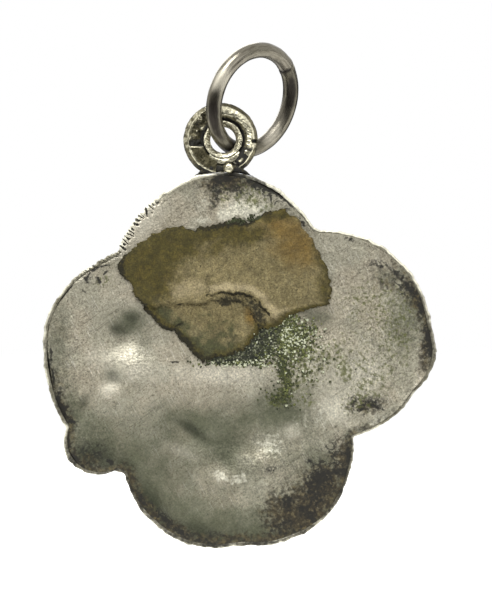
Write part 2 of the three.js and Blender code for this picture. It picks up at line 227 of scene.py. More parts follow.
def layeredMaterial(name, look):
    # Base colour with cloudy patches and specks. Over it lie the layers, in order: each covers
    # where its mask on the points, roughened by fine noise, passes a soft threshold, and fades out
    # where the mask comes to nothing. A layer is a row of mask, colour, metallic, roughness, size of
    # the noise in mm, how ragged its edge is, how soft, and how much it covers. Two more may follow:
    # how much more mask it needs, and the size and width of lines that it is cut down to
    material = bpy.data.materials.new(name)
    tree = emptyTree(material)
    place = addNode(tree, "ShaderNodeTexCoord").outputs["Object"]
    if "space" in look:  # a pattern that follows the surface
        place = addNode(tree, "ShaderNodeAttribute", {"attribute_name": look["space"]}).outputs["Vector"]
        perMetre = 1
    else:
        perMetre = 1 / mm
    stretch = look.get("stretch", (1, 1, 1))
    drawn = addNode(tree, "ShaderNodeMapping", None, {"Vector": place, "Scale": stretch}).outputs[0]

    def grain(size, source=place, detail=3.0, shift=0.0):
        settings = {"noise_dimensions": "4D"}
        return addNode(tree, "ShaderNodeTexNoise", settings, {
            "Vector": source, "W": shift, "Scale": perMetre / size, "Detail": detail}).outputs[0]

    def graded(value, low, high, top=1.0):
        return addNode(tree, "ShaderNodeMapRange", {"interpolation_type": "SMOOTHSTEP"}, {
            "Value": value, "From Min": low, "From Max": high, "To Max": top}).outputs[0]

    def mixed(share, first, second, kind="RGBA"):
        a, b, out = (6, 7, 2) if kind == "RGBA" else (2, 3, 0)
        inputs = {0: share, a: first, b: second}
        return addNode(tree, "ShaderNodeMix", {"data_type": kind}, inputs).outputs[out]

    colour, metal, rough = fromHex(look["colour"]), look["metallic"], look["roughness"]
    clouds = graded(grain(look["cloudSize"], shift=1.0), 0.35, 0.65)
    colour = mixed(clouds, colour, fromHex(look["cloudColour"]))
    rough = mixed(clouds, rough, look["cloudRoughness"], "FLOAT")
    for n, (size, low, high, amount, code) in enumerate(look["mottle"]):
        spread = graded(grain(size, drawn, 3.0, 2.0 + n), low, high, amount)
        colour = mixed(spread, colour, fromHex(code))
    for n, (slant, length, width, low, high, amount, code) in enumerate(look.get("scratches", ())):
        lined = addNode(tree, "ShaderNodeMapping", {"vector_type": "TEXTURE"}, {
            "Vector": place, "Rotation": (0, slant * degree, 0), "Scale": (length, 1, width)}).outputs[0]
        line = graded(grain(1, lined, 1.0, 60.0 + n), low, high, amount)
        colour = mixed(line, colour, fromHex(code))
    for n, layer in enumerate(look["layers"]):
        layer = (*layer, 0, 0)[:10]
        name, code, layerMetal, layerRough, size, ragged, soft, amount, late, lines = layer
        mask = addNode(tree, "ShaderNodeAttribute", {"attribute_name": name}).outputs["Fac"]
        torn = grain(size, detail=4.0, shift=5.0 + n)
        edge = addNode(tree, "ShaderNodeMath", {"operation": "MULTIPLY_ADD"}, {
            0: torn, 1: ragged, 2: mask}).outputs[0]
        middle = 0.5 + 0.5 * ragged + late
        cover = addNode(tree, "ShaderNodeMath", {"operation": "MULTIPLY"}, {
            0: graded(edge, middle - soft, middle + soft, amount),
            1: graded(mask, 0.02, 0.35)}).outputs[0]
        if lines:  # only along the lines where a noise passes its middle
            onLine = addNode(tree, "ShaderNodeMath", {"operation": "COMPARE"}, {
                0: grain(lines[0], detail=5.0, shift=80.0 + n), 1: 0.5, 2: lines[1]}).outputs[0]
            cover = addNode(tree, "ShaderNodeMath", {"operation": "MULTIPLY"}, {
                0: cover, 1: onLine}).outputs[0]
        colour = mixed(cover, colour, fromHex(code))
        metal = mixed(cover, metal, layerMetal, "FLOAT")
        rough = mixed(cover, rough, layerRough, "FLOAT")
    share = 1.0
    if "gritMask" in look:  # light and dark grains, stronger where the mask is
        share = addNode(tree, "ShaderNodeAttribute", {"attribute_name": look["gritMask"]}).outputs["Fac"]
    for n, (size, low, high) in enumerate(look["grit"]):
        shade = addNode(tree, "ShaderNodeMapRange", None, {
            "Value": grain(size, drawn, 2.0, 40.0 + n), "From Min": 0.3, "From Max": 0.7,
            "To Min": low, "To Max": high}).outputs[0]
        colour = addNode(tree, "ShaderNodeMix", {"data_type": "RGBA", "blend_type": "MULTIPLY"},
                         {0: share, 6: colour, 7: shade}).outputs[2]
    normal = None
    for n, (size, height, source) in enumerate(look["bumps"]):
        bump = addNode(tree, "ShaderNodeBump", None, {
            "Distance": height * mm, "Height": grain(size, drawn if source else place, 3.0, 20.0 + n)})
        if normal is not None:
            tree.links.new(normal, bump.inputs["Normal"])
        normal = bump.outputs[0]
    shader = addNode(tree, "ShaderNodeBsdfPrincipled", None, {
        "Base Color": colour, "Metallic": metal, "Roughness": rough, "Normal": normal})
    addNode(tree, "ShaderNodeOutputMaterial", None, {"Surface": shader.outputs[0]})
    return material


# Jump ring: drawn round wire, closed by hand with a butt join
ringShape = {
    "wire": 0.8,          # millimetres
    "meanDiameter": 5.25,
    "lean": 68.2,         # bearing of the long axis as the ring lies
    "tilt": 45.4,         # turn about that axis
    "crossing": 160,      # where along the wire the eye hangs
    "join": -30,
    "joinGap": 0.05,
    "joinStep": 0.035,    # the two ends don't quite meet
    "wear": 0.02,         # how much the eye has rubbed away
    # inEye: painted shade with some dirt where the wire goes into the eye
    "inEye": [(170, 10, 0.9)],  # these rows are a place along the wire, half width and amount
    # darkReflection: stretches of painted dark reflection on the side towards the viewer
    "darkReflection": [(121, 19, 1.3), (148, 15, 1.0), (303, 30, 1.15)],
    # polished: stretches of painted highlight on the side towards the viewer, partly polished metal
    "polished": [(84, 14, 1.0), (236, 18, 0.7)],
    "along": 420,
    "around": 56,
}
leanAngle, tiltAngle = ringShape["lean"] * degree, ringShape["tilt"] * degree
longAxis = np.array([math.cos(leanAngle), math.sin(leanAngle), 0])
shortAxis = np.array([-math.sin(leanAngle) * math.cos(tiltAngle),
                      math.cos(leanAngle) * math.cos(tiltAngle), math.sin(tiltAngle)])
ringAxis = np.cross(longAxis, shortAxis)


def wireCentre(place):
    # a circle in the plane of the long and the short axis
    reach = ringShape["meanDiameter"] / 2
    return reach * (np.cos(place)[..., None] * longAxis + np.sin(place)[..., None] * shortAxis)


def patches(angle, rows):
    # the sum of amount * exp(-((angle - middle) / half)^2)
    return sum(amount * hump(angle - middle, half) for middle, half, amount in rows)


def makeJumpRing():
    # A circle of the wire's radius is carried round the ring. It grows a little just beside the
    # join, where the cutter squeezed the wire, and each end closes with a small round-over.
    # Painted dark reflections and painted highlights, partly polished metal, lie along its side towards
    # the viewer. Dirt lies on its inside and at the join, and painted shade with some dirt in the eye
    shape = ringShape
    reach = shape["meanDiameter"] / 2
    cut = shape["joinGap"] / reach
    ends = np.array([0, 0, 0.55, 0.85, 0.97])  # share of the radius, and then millimetres inwards
    endBacks = np.array([0, 0, 0, 0.012, 0.03])
    count = len(ends)
    share = np.linspace(0, 1, shape["along"] - 2 * count)
    place = shape["join"] * degree + cut / 2 + share * (turn - cut)
    place = np.concatenate([np.full(count, place[0]), place, np.full(count, place[-1])])
    size = np.concatenate([ends, np.ones(len(share)), ends[::-1]])
    back = np.concatenate([endBacks, np.full(len(share), 0.05), endBacks[::-1]]) - 0.05
    fromJoin = np.minimum(np.arange(len(place)), len(place) - 1 - np.arange(len(place)))
    squeeze = 0.018 * hump(fromJoin - 9, 4.0)
    rubbed = shape["wear"] * hump(place / degree - shape["crossing"], 16)
    place = place + np.where(np.arange(len(place)) < len(place) / 2, back, -back) / reach
    around = np.linspace(0, turn, shape["around"], endpoint=False)
    p, a = np.meshgrid(place, around, indexing="ij")
    outward = wireCentre(p) / reach
    dinge = 0.006 * softNoise(p * 6, np.cos(a) * 3, 1.0, 11)
    radius = (size[:, None] * (shape["wire"] / 2 + squeeze[:, None] + dinge)
              - rubbed[:, None] * ramp(0.2, 1, -np.cos(a)))
    grid = (wireCentre(p) + radius[..., None] * (np.cos(a)[..., None] * outward
                                                 + np.sin(a)[..., None] * ringAxis))
    slip = shape["joinStep"] * hump(np.arange(len(place)), 26.0)
    grid = grid + slip[:, None, None] * ringAxis
    space = np.stack([np.cos(a) * 0.4, np.sin(a) * 0.4, p * reach], -1)
    atJoin = hump(fromJoin - 4, 5.0)[:, None] * np.ones_like(a)
    inside = ramp(0.15, 1, -np.cos(a))
    facing = ramp(0.35, 0.95, np.cos(a) * outward[..., 2] + np.sin(a) * ringAxis[2])
    angle = (p / degree) % 360
    # core: the side towards the viewer, painted dark along the darkReflection stretches as a reflection
    core = ramp(0.55, 0.97, np.cos(a + 0.08) * outward[..., 2] + np.sin(a + 0.08) * ringAxis[2])
    grime = np.max([0.62 * inside * (0.6 + 0.4 * np.sin(a)), patches(angle, shape["darkReflection"]) * core,
                    patches(angle, shape["inEye"]), atJoin * ramp(-0.3, 0.5, -np.cos(a))], 0)
    return makePiece("jumpRing", grid, {
        "wireSpace": space, "cutEnd": atJoin * ramp(0.2, 0.8, np.cos(a)), "grime": grime,
        "polished": patches(angle, shape["polished"]) * facing})


# Sterling silver wire, drawn, then worn smooth and tarnished: a grey brown sheen with fine lines
# along the wire and darker grey dirt where fingers don't reach, with painted dark reflections and
# painted highlights on its side towards the viewer and painted shade where it goes into the eye
wireSilver = layeredMaterial("TarnishedSilverWire", {
    "colour": "#8c877a", "metallic": 1.0, "roughness": 0.24,
    "cloudColour": "#6c6859", "cloudSize": 2.2, "cloudRoughness": 0.3,
    "mottle": [(0.5, 0.45, 0.7, 0.5, "#5a5247"), (0.16, 0.5, 0.7, 0.6, "#39332a")],
    "space": "wireSpace", "stretch": (6, 6, 0.5),  # draw lines of 0.03 mm, drawn coarser to show
    "layers": [
        # polished paints highlights on partly polished metal; grime is dirt with painted shade and dark
        # reflections
        ("polished", "#dcd5c2", 0.45, 0.45, 0.5, 0.4, 0.45, 0.8),
        ("grime", "#1f1915", 0.7, 0.42, 0.4, 0.9, 0.45, 0.9),
        ("cutEnd", "#b8b09a", 1.0, 0.35, 0.3, 1.2, 0.15, 0.5),
    ],
    "grit": [(0.4, 0.85, 1.15), (0.16, 0.85, 1.15)],
    "bumps": [(0.9, 0.012, False), (0.3, 0.006, True)],
})
dress(makeJumpRing(), wireSilver, "silver_wire", "jump_ring", "jump_ring")

# Place of the eye, from the frame. The wire's round of the outer ring stands a little to the left
innerLow, innerHigh = boxOf("eye_inner_ring")
bore = (innerLow + innerHigh) / 2 + np.array([0, 0, 0.1])
eyeCentre = bore + np.array([-0.12, 0, -0.1])

# Outline of the clover: the farthest of nine round lobes at each bearing, with softened notches
outline = {
    "lobes": [(4.48, 99.8, 4.71), (3.37, 105.7, 5.63), (5.4, 177.3, 4.65), (3.82, 188, 6.12),
              (5.39, 257, 4.78), (4.9, 278.6, 5.05), (7.45, 0.7, 2.56), (4.47, 10.4, 5.36),
              (8.59, 212.3, 1.72)],  # how far out, bearing, radius
    "soft": 0.06,
    "valleys": (54, 142, 212, 324),  # bearings of the creases between the leaves
    "stem": 212.3,
    "bulges": [(339.5, 7, 0.07), (320, 6, 0.05), (296, 9, 0.12), (278, 7, 0.06), (258, 8, 0.04),
               (109, 9, 0.07), (153, 12, -0.04), (20, 8, 0.04)],  # bearing, half width, millimetres
}


def outlineRadius(bearing, bulged=True):
    # reach of each lobe along the bearing, d cos t + sqrt(r^2 - (d sin t)^2), joined by a soft
    # maximum: s ln sum exp(reach / s). Small bulges, amount * exp(-(apart / half)^2), lie on it
    lobes = np.array(outline["lobes"])
    t = bearing[..., None] - lobes[:, 1] * degree
    inside = lobes[:, 2] ** 2 - (lobes[:, 0] * np.sin(t)) ** 2
    reach = np.where(inside > 0, lobes[:, 0] * np.cos(t) + np.sqrt(np.maximum(inside, 0)), 0)
    bulge = sum(amount * hump(apartFrom(bearing / degree, middle), half)
                for middle, half, amount in outline["bulges"])
    return outline["soft"] * np.log(np.exp(reach / outline["soft"]).sum(-1)) + bulge * bulged


shellLow, shellHigh = boxOf("front_shell")
coarse = np.arange(108) * turn / 108
grow = (shellHigh[0] - shellLow[0]) / np.ptp(outlineRadius(coarse, False) * np.cos(coarse))
outline["lobes"] = [(reach * grow, bearing, radius * grow)
                    for reach, bearing, radius in outline["lobes"]]
centre = np.array([shellLow[0] - (outlineRadius(coarse, False) * np.cos(coarse)).min(),
                   shellLow[1] - (outlineRadius(coarse, False) * np.sin(coarse)).min(), eyeCentre[2]])
rimBack = shellHigh[2] - centre[2]
plateBack = boxOf("back_plate")[1][2] - centre[2]
print("clover centre", centre.round(3), "rim", round(rimBack, 3), "plate", round(plateBack, 3))


def arcs(bearing, rows):
    # each row is a bearing, a half width and an amount: the most of amount * exp(-(apart / half)^4)
    angle = bearing / degree
    return np.max([amount * hump(apartFrom(angle, middle), half, 4) for middle, half, amount in rows], 0)


# Along the edge: where the rim has a broad and a thin bright line, painted highlights over worn
# metal, and where it is dirty, where dirt lies on the plate beside it, and where the seam round the
# plate shows as a gap, not filled with solder
edgeShape = {
    "broadBright": [(108, 8, 1.0), (77, 9, 1.0), (128, 14, 0.8)],
    "thinBright": [
        (44, 32, 1.0), (8, 12, 0.6), (322, 12, 0.5), (290, 26, 0.4), (176, 24, 0.35), (212, 14, 0.35)],
    "rimDirt": [
        (278, 52, 0.85), (212, 15, 0.7), (233, 14, 0.9), (342, 14, 0.5), (146, 7, 0.3), (0, 16, 0.6),
        (200, 10, 0.55), (93, 8, 1.0)],
    "plateDirt": [
        (280, 58, 0.85), (212, 16, 0.75), (235, 16, 0.95), (12, 20, 0.6), (196, 12, 0.7), (90, 14, 0.6)],
    "openSeam": [
        (150, 9, 0.35), (163, 5, 0.7), (172, 5, 0.4), (185, 8, 1.0), (198, 6, 0.7), (79, 8, 1.0),
        (64, 7, 0.35), (34, 12, 0.2), (8, 14, 0.45), (118, 12, 0.2), (212, 9, 0.55)],
    "filed": [(130, 12, 1.0), (150, 7, 0.55), (206, 12, 0.3)],
    "strokesPerTurn": 270,
    "strokeStart": 0.06,   # millimetres in from the outside of the rim
    "strokeEnd": 0.33,
    "shorter": (150, 8, 0.15),  # bearing, half width and millimetres less
}


def fileStrokes(bearing, fromRim):
    # short strokes of a file across the seam, by the distance in from the outside of the rim. A
    # wave along the edge leans to one side or the other and ends at an uneven distance
    shape = edgeShape
    angle = bearing / degree
    lean = 1.1 * lineNoise(angle, 2.3, 34, 3) + 0.35
    shifted = angle + fromRim * 5.2 * lean
    phase = 2.4 * lineNoise(shifted, 2.2, 31)
    wave = np.sin(shifted * degree * shape["strokesPerTurn"] + phase)
    amount = sum(amount * hump(angle - middle, half, 4) for middle, half, amount in shape["filed"])
    uneven = 0.7 * lineNoise(shifted, 0.8, 32, 9) + 0.4 * lineNoise(angle, 5.0, 33, 5)
    middle, half, less = shape["shorter"]
    length = shape["strokeEnd"] + 0.2 * lineNoise(shifted, 1.1, 36, 7)
    length = length - less * hump(angle - middle, half, 4)
    start = shape["strokeStart"] + 0.07 * lineNoise(shifted, 0.9, 38, 2)
    across = ramp(start - 0.06, start + 0.04, fromRim)
    across = across * (1 - ramp(length - 0.06, length + 0.08, fromRim))
    return np.minimum(amount, 1) * ramp(-0.2, 0.3, wave + uneven) * across


def spreadBearings(count):
    # the share of the way round that each column takes falls to a third where the file has been:
    # the running sum of 1 + 2 exp(-((angle - 140) / 26)^4), turned about
    angle = np.linspace(0, 360, 4001)
    total = np.cumsum(1 + 2 * hump(angle - 140, 26, 4))
    total = (total - total[0]) / (total[-1] - total[0])
    return np.interp(np.arange(count) / count, total, angle) * degree


# Back plate: thin sheet, dented by wear. Spots are x, y, half length, half width, turn, amount
plateShape = {
    "thickness": 0.25,
    "rim": 0.2,
    "seam": 0.035,
    "bearings": 840,
    "rings": 100,
    "hollows": [
        (-6.15, 0.4, 1.05, 0.95, 0, 0.27), (-5.5, 0.8, 0.65, 0.75, 0, 0.14),
        (-6.62, -1.5, 0.55, 0.55, 0, 0.16), (-7.84, -2.85, 0.81, 0.71, 0, 0.1),
        (-2.3, -4.2, 1.2, 0.6, -34, 0.22), (0.51, -4.48, 2.4, 1, 0, 0.26),
        (-1.0, -5.75, 0.75, 0.65, 0, 0.16), (1.43, -4.07, 1.2, 0.92, 0, 0.1),
        (4.33, 0.81, 1.1, 0.81, 0, 0.14), (-5.19, -6.11, 1.9, 0.4, -47, 0.1),
        (-0.25, 6.52, 1.3, 0.81, 0, -0.08), (5.7, -3.46, 0.71, 0.51, 20, 0.08),
        (-3.05, -1.43, 3.1, 1.5, 0, -0.1), (7.13, 1.12, 2, 2.5, 0, -0.09),
        (-5.45, 1.6, 0.7, 0.5, 0, 0.1), (-0.9, -7.2, 3.2, 0.9, 0, -0.1),
        (-0.92, -8.9, 3.1, 1.2, 0, 0.16), (-8.8, -3.2, 0.9, 1.0, 0, 0.12)],
    "grime": [
        (2.44, -7.69, 0.5, 0.45, 0, 0.8), (3.97, -6.5, 0.65, 0.55, 0, 0.8),
        (3.8, -7.4, 0.7, 0.65, 0, 0.72), (4.8, -6.15, 0.8, 0.15, 18, 0.9),
        (3.2, -8.04, 0.28, 0.22, 0, 0.9), (3.66, -8.45, 0.5, 0.28, -40, 0.75),
        (5.3, -6.2, 0.4, 0.16, -30, 0.8), (2.3, -8.9, 1.0, 0.6, 0, 0.6),
        (5.55, -5.3, 0.2, 0.85, 8, 0.85), (4.5, -5.0, 0.5, 0.1, -50, 0.6),
        (3.6, -5.65, 0.5, 0.15, -30, 0.7), (8.04, 3.92, 0.46, 0.2, -40, 0.75),
        (8.7, 3.16, 0.61, 0.25, -50, 0.85), (9.26, 2.19, 0.25, 0.66, 0, 0.9),
        (9.62, 0.87, 0.2, 0.76, 0, 0.85), (9.72, 0, 0.2, 0.61, 0, 0.9),
        (6.21, -2.95, 0.4, 0.15, 10, 0.75), (6.72, -2.5, 0.66, 0.36, 0, 0.4),
        (5.75, -2.6, 0.3, 0.12, 40, 0.7), (7.0, -2.85, 0.35, 0.12, -20, 0.7),
        (5.6, -2.34, 0.31, 0.2, 0, 0.5), (5.6, 5.7, 0.36, 0.2, -30, 0.6),
        (7.28, 4.33, 0.36, 0.15, 20, 0.6), (-0.76, 8.8, 0.8, 0.3, 0, 0.95),
        (0.6, 8.75, 0.71, 0.2, -15, 0.8), (-1.43, 8.35, 0.51, 0.25, 30, 0.5),
        (0.9, 8.45, 0.35, 0.2, 0, 0.85), (-1.2, 7.9, 0.16, 0.5, -15, 0.55),
        (0.95, 8.6, 0.5, 0.13, -32, 0.95), (1.9, 8.02, 0.5, 0.12, -35, 0.95),
        (1.4, 8.3, 0.56, 0.14, -32, 0.95), (2.5, 7.5, 0.5, 0.1, -44, 0.8),
        (3.21, 6.52, 0.46, 0.13, -50, 0.6), (-0.41, 8.14, 1, 0.41, 0, 0.45),
        (-9.14, -2.1, 0.2, 0.09, 20, 1), (-9.24, -2.45, 0.3, 0.14, -72, 1),
        (-9.1, -2.85, 0.32, 0.15, -40, 1), (-8.95, -3.2, 0.26, 0.13, -60, 1),
        (-8.62, -3.56, 0.34, 0.13, -20, 1), (-8.85, -2.9, 0.18, 0.1, 40, 1),
        (-9.3, -2.8, 0.1, 0.3, 10, 0.8), (-9.62, -0.1, 0.09, 0.5, 0, 1), (-9.5, -1.3, 0.07, 0.6, 5, 1),
        (-7.8, 3.6, 0.26, 0.09, -55, 1), (-7.2, 3.66, 0.09, 0.2, 0, 1), (-7.1, 3.5, 0.16, 0.07, 0, 1),
        (-6.82, 4.02, 0.2, 0.08, 40, 1), (-7.95, 3.05, 0.14, 0.06, -30, 0.8),
        (-7.4, 4.15, 0.35, 0.07, 28, 0.9), (-6.9, 4.35, 0.35, 0.06, 12, 0.85),
        (-7.7, 3.85, 0.2, 0.07, 60, 0.9), (-3.77, -8.6, 0.71, 0.18, -38, 0.75),
        (-2.95, -9.26, 0.61, 0.18, -28, 0.8), (-1.88, -9.67, 0.71, 0.18, -10, 0.6),
        (-0.61, -9.87, 0.71, 0.15, 0, 0.5), (-6.57, -5.65, 0.22, 0.12, -45, 1),
        (-5.0, -7.6, 1.0, 0.2, -62, 0.7), (-8.35, -5.45, 0.3, 0.1, -50, 0.9),
        (-8.7, -4.65, 0.08, 0.3, 15, 0.9), (-8.5, -5.45, 0.1, 0.31, 20, 0.85),
        (-8.04, -5.85, 0.1, 0.25, 50, 0.7), (-7.53, -5.09, 1.1, 0.76, 0, 0.42),
        (-3.31, -0.56, 0.25, 0.066, 0, 0.8), (1.68, -6.01, 0.36, 0.081, 8, 0.7),
        (-2.14, -4.07, 0.51, 0.15, -31, 0.35)],
    "verdigris": [
        (2.6, 0.5, 1.0, 0.9, 0, 0.75), (2.12, -0.7, 0.22, 0.5, 15, 0.95),
        (2.38, -1.5, 0.24, 0.5, 0, 0.95), (2.2, -2.2, 0.32, 0.35, 10, 0.85),
        (1.8, -2.6, 0.46, 0.31, 0, 0.65), (5.34, -1.07, 0.25, 0.46, 35, 0.65),
        (3.41, -2.65, 0.46, 0.2, 0, 0.5), (3.05, -1.53, 1.1, 1, 0, 0.42),
        (4.58, -0.2, 1.7, 1.1, 0, 0.4), (8.04, 0.61, 1.5, 2.2, 0, 0.38),
        (6.52, -1.32, 1.4, 1.0, 0, 0.3), (6.4, 2.6, 1.6, 1.3, 0, 0.3),
        (0.51, -0.51, 0.71, 0.25, 0, 0.3), (3.4, -0.5, 0.9, 0.9, 0, 0.25),
        (5.9, -2.6, 1.4, 0.8, 20, 0.42), (5.3, 1.6, 1.5, 1.9, 0, 0.12), (7.4, 2.6, 1.3, 1.2, -30, 0.16),
        (1.0, 7.6, 1.3, 0.6, -30, 0.45), (-0.6, 7.9, 1.6, 0.8, 0, 0.35), (-6.9, 3.6, 0.9, 0.6, 0, 0.35)],
    # pale: white corrosion, and painted highlights on the lit slopes of some dents
    "pale": [
        (0.0, 7.28, 0.7, 0.35, 0, 0.9), (-0.76, 6.95, 0.5, 0.35, 0, 0.95),
        (0.6, 7.0, 0.5, 0.35, -20, 0.95), (1.15, 7.25, 0.5, 0.3, 20, 0.8),
        (-1.8, 6.65, 0.8, 0.2, 0, 0.7), (-1.73, 7.53, 1, 0.41, 20, 0.4), (2.65, 0.1, 1, 0.71, 0, 0.5),
        (0.3, -0.5, 1.5, 0.25, 4, 0.7), (-1.0, -6.35, 0.45, 0.35, -30, 0.6),
        (-0.1, -6.6, 0.5, 0.3, 0, 0.5), (1.63, -4.78, 1.3, 0.87, 0, 0.5),
        (7.02, -3.46, 0.81, 0.41, 20, 0.55), (0.15, -6.46, 0.61, 0.36, 0, 0.4),
        (-5.85, -0.15, 0.6, 0.5, 0, 0.3), (3.05, -3.72, 0.92, 0.51, 0, 0.3),
        (5.34, 2.65, 1, 1.2, 0, 0.25), (-6.72, -1.9, 0.4, 0.35, 0, 0.5), (4.6, -3.0, 1.4, 0.9, 0, 0.5)],
    # rubbed: worn bright metal, and painted highlights on the lit lower slopes of the dents
    "rubbed": [
        (-5.95, -0.2, 0.8, 0.6, 0, 0.25), (-5.8, -0.4, 1.5, 1.1, 0, 0.1),
        (-6.72, -1.95, 0.6, 0.55, 0, 0.6), (-5.4, -1.1, 1.2, 0.8, 0, 0.3),
        (-1.0, -6.4, 0.6, 0.4, -20, 0.35), (0.6, -5.2, 2.2, 0.9, 0, 0.1),
        (-7.4, -0.4, 0.8, 0.7, 0, 0.35), (-3.0, -5.1, 1.0, 0.5, -30, 0.3),
        (6.6, -1.3, 1.1, 1.0, 0, 0.45), (4.9, -2.9, 1.1, 0.8, 0, 0.5), (3.6, -0.6, 0.6, 0.9, 0, 0.35),
        (2.7, -4.1, 0.7, 0.5, 0, 0.4), (5, -2.4, 1.3, 1.7, 0, 0.25), (6.4, -0.6, 1.3, 1.2, 0, 0.25),
        (-5.0, 6.6, 1.9, 1.0, 45, 0.6), (0, 7.4, 1.5, 0.6, 0, 0.4), (-1.0, -1.1, 3.0, 0.8, 0, 0.6),
        (-8.3, 4.0, 0.9, 0.6, 30, 0.5), (-7.6, 1.6, 1.6, 1.8, 0, 0.1), (4.4, -1.0, 0.8, 0.8, 0, 0.19)],
    "stain": [
        (2.6, -8.3, 1.4, 1.2, 0, 0.9), (4.1, -7.0, 1.1, 1.4, -30, 0.9), (5.3, -5.3, 0.5, 1.0, 0, 0.8),
        (3.6, -8.5, 1.2, 0.8, 20, 0.6), (9.0, 2.6, 0.55, 1.5, 30, 0.6), (9.45, 0.0, 0.35, 1.4, 0, 0.6),
        (6.4, -2.8, 1.1, 0.5, 5, 0.55), (-0.4, 8.55, 1.6, 0.4, 0, 0.85),
        (-1.25, 7.7, 0.3, 0.7, -15, 0.5), (-8.9, -3.2, 0.5, 0.7, 20, 0.35),
        (-9.2, -1.8, 0.35, 0.9, 5, 0.35), (7.3, 3.6, 1.0, 0.7, -30, 0.35),
        (-3.2, -9.0, 1.2, 0.35, -28, 0.5), (-7.8, -5.6, 0.8, 0.5, 20, 0.5)],
    "cracks": [
        (-9.1, -2.5, 0.35, 0.8, 10, 1), (-8.7, -3.7, 0.4, 0.5, 30, 0.9),
        (-7.4, 3.65, 0.8, 0.35, 15, 0.6), (0.6, 8.2, 1.4, 0.5, -10, 0.8),
        (1.9, 7.6, 1.2, 0.3, -40, 0.8), (4.4, -6.4, 1.3, 1.2, 0, 0.8), (5.0, -5.0, 0.9, 0.8, 0, 0.7),
        (8.4, 3.1, 1.3, 0.5, -45, 0.8), (9.5, 0.9, 0.4, 1.6, 0, 0.9), (6.4, -2.8, 1.2, 0.6, 10, 0.8),
        (-7.7, -5.4, 1.3, 0.9, 0, 0.7), (1.6, -6.0, 1.1, 0.3, 5, 0.6), (-4.2, -8.3, 1.6, 0.4, -38, 0.9),
        (-1.5, -9.3, 2.0, 0.35, -8, 0.6), (-1.0, 7.7, 0.9, 0.4, 0, 0.6), (7.0, 4.4, 0.9, 0.4, 0, 0.6)],
    # dull: tarnish and edge dirt, with painted shade over the dents and the crease, and darker towards the
    # bottom
    "dull": [
        (-1.5, -4.1, 4.6, 1.9, 0, 0.62), (-3.6, -6.9, 3.4, 2.4, -20, 0.4),
        (0.6, -8.6, 4.0, 2.0, 0, 0.42), (-8.0, -3.6, 1.5, 1.5, 0, 0.45), (-9.3, -0.6, 0.7, 2.4, 0, 0.3),
        (3.9, -6.4, 1.9, 2.4, 0, 0.5), (-5.5, 1.5, 1.0, 0.7, 0, 0.6), (8.4, 2.6, 1.3, 2.2, -20, 0.3),
        (-0.3, 8.8, 2.0, 0.8, 0, 0.2), (-0.4, -9.6, 2.8, 0.7, 0, 0.5), (1.6, -5.4, 2.4, 1.0, 0, 0.2),
        (3.4, -2.2, 1.3, 1.0, 0, 0.3), (3.9, 1.75, 1.0, 0.5, -10, 0.75),
        (-4.6, -7.2, 1.4, 1.3, -45, 0.95), (1.0, -3.2, 0.8, 0.7, 0, 0.5),
        (-7.3, -3.7, 2.0, 0.7, 0, 0.3), (-4.3, -5.3, 1.1, 1.0, 0, 0.35), (0.2, -6.4, 1.1, 0.6, 0, 0.35),
        (-4.7, 0.4, 0.5, 0.5, 0, 0.4), (-1.4, -4.6, 1.6, 1.0, -30, 0.35), (2.4, -3.4, 1.2, 0.6, 0, 0.9),
        (-0.8, -5.3, 0.7, 0.5, -30, 0.5), (-9.0, 1.5, 0.6, 1.6, 0, 0.3), (4.4, -5.6, 0.9, 0.5, 0, 0.5),
        (-2.4, -8.7, 2.3, 0.9, -10, 0.85), (0.5, -9.3, 2.6, 0.7, 0, 0.78),
        (0.4, -8.4, 2.0, 0.6, 0, 0.52), (-8.7, -3.0, 0.9, 1.5, 0, 0.65),
        (-7.53, -5.2, 1.6, 1.1, 0, 0.95), (-5.6, -5.6, 1.3, 0.9, -40, 0.78),
        (-1.9, -3.75, 1.5, 0.55, -25, 0.85), (0.0, -3.6, 1.4, 0.5, 0, 0.65),
        (1.9, -2.7, 1.1, 0.9, 0, 0.65), (-0.5, -4.6, 0.8, 0.4, 0, 0.65),
        (-5.75, 1.4, 0.9, 0.6, 0, 0.65), (-6.46, -1.27, 0.5, 0.4, 0, 0.95),
        (8.7, 1.8, 0.9, 2.2, -15, 0.59), (7.4, 3.9, 0.9, 0.6, -30, 0.39),
        (-1.78, 8.25, 1.5, 0.71, 0, 0.26), (-9.3, 0.1, 0.6, 1.8, 0, 0.39),
        (-3.2, -3.4, 0.9, 0.5, -20, 0.39), (3.0, 7.3, 1.0, 0.7, -40, 0.3)],
    # deep: darker tarnish and dirt, partly painted shade in the dents and the crease
    "deep": [
        (-7.6, -5.3, 1.2, 0.8, 0, 0.75), (-2.55, -3.9, 0.75, 0.3, -36, 0.95),
        (-1.7, -4.5, 0.8, 0.4, -40, 0.35), (-4.6, -7.8, 1.9, 0.75, -52, 0.9),
        (-6.1, -6.1, 1.2, 0.6, -60, 0.75), (-2.3, -9.2, 1.5, 0.5, -18, 0.85),
        (0, -9.7, 2.0, 0.4, 0, 0.85), (2.2, -9.5, 1.2, 0.5, 15, 0.95),
        (-6.2, 1.1, 0.55, 0.4, -20, 0.85), (-5.5, 1.75, 0.55, 0.4, 0, 0.75),
        (3.9, 1.75, 0.8, 0.3, -15, 0.25), (-0.6, 8.8, 1.2, 0.3, 0, 0.65),
        (4.6, -6.8, 0.9, 1.3, -30, 0.6), (-8.0, -2.6, 0.6, 0.4, 60, 0.6), (9.1, 2.6, 0.5, 1.3, 25, 0.6),
        (-6.46, -1.27, 0.35, 0.28, 0, 0.7), (-9.3, -1.6, 0.5, 1.4, 5, 0.2),
        (9.5, 0.2, 0.4, 1.2, 0, 0.6)],
    "rough": [
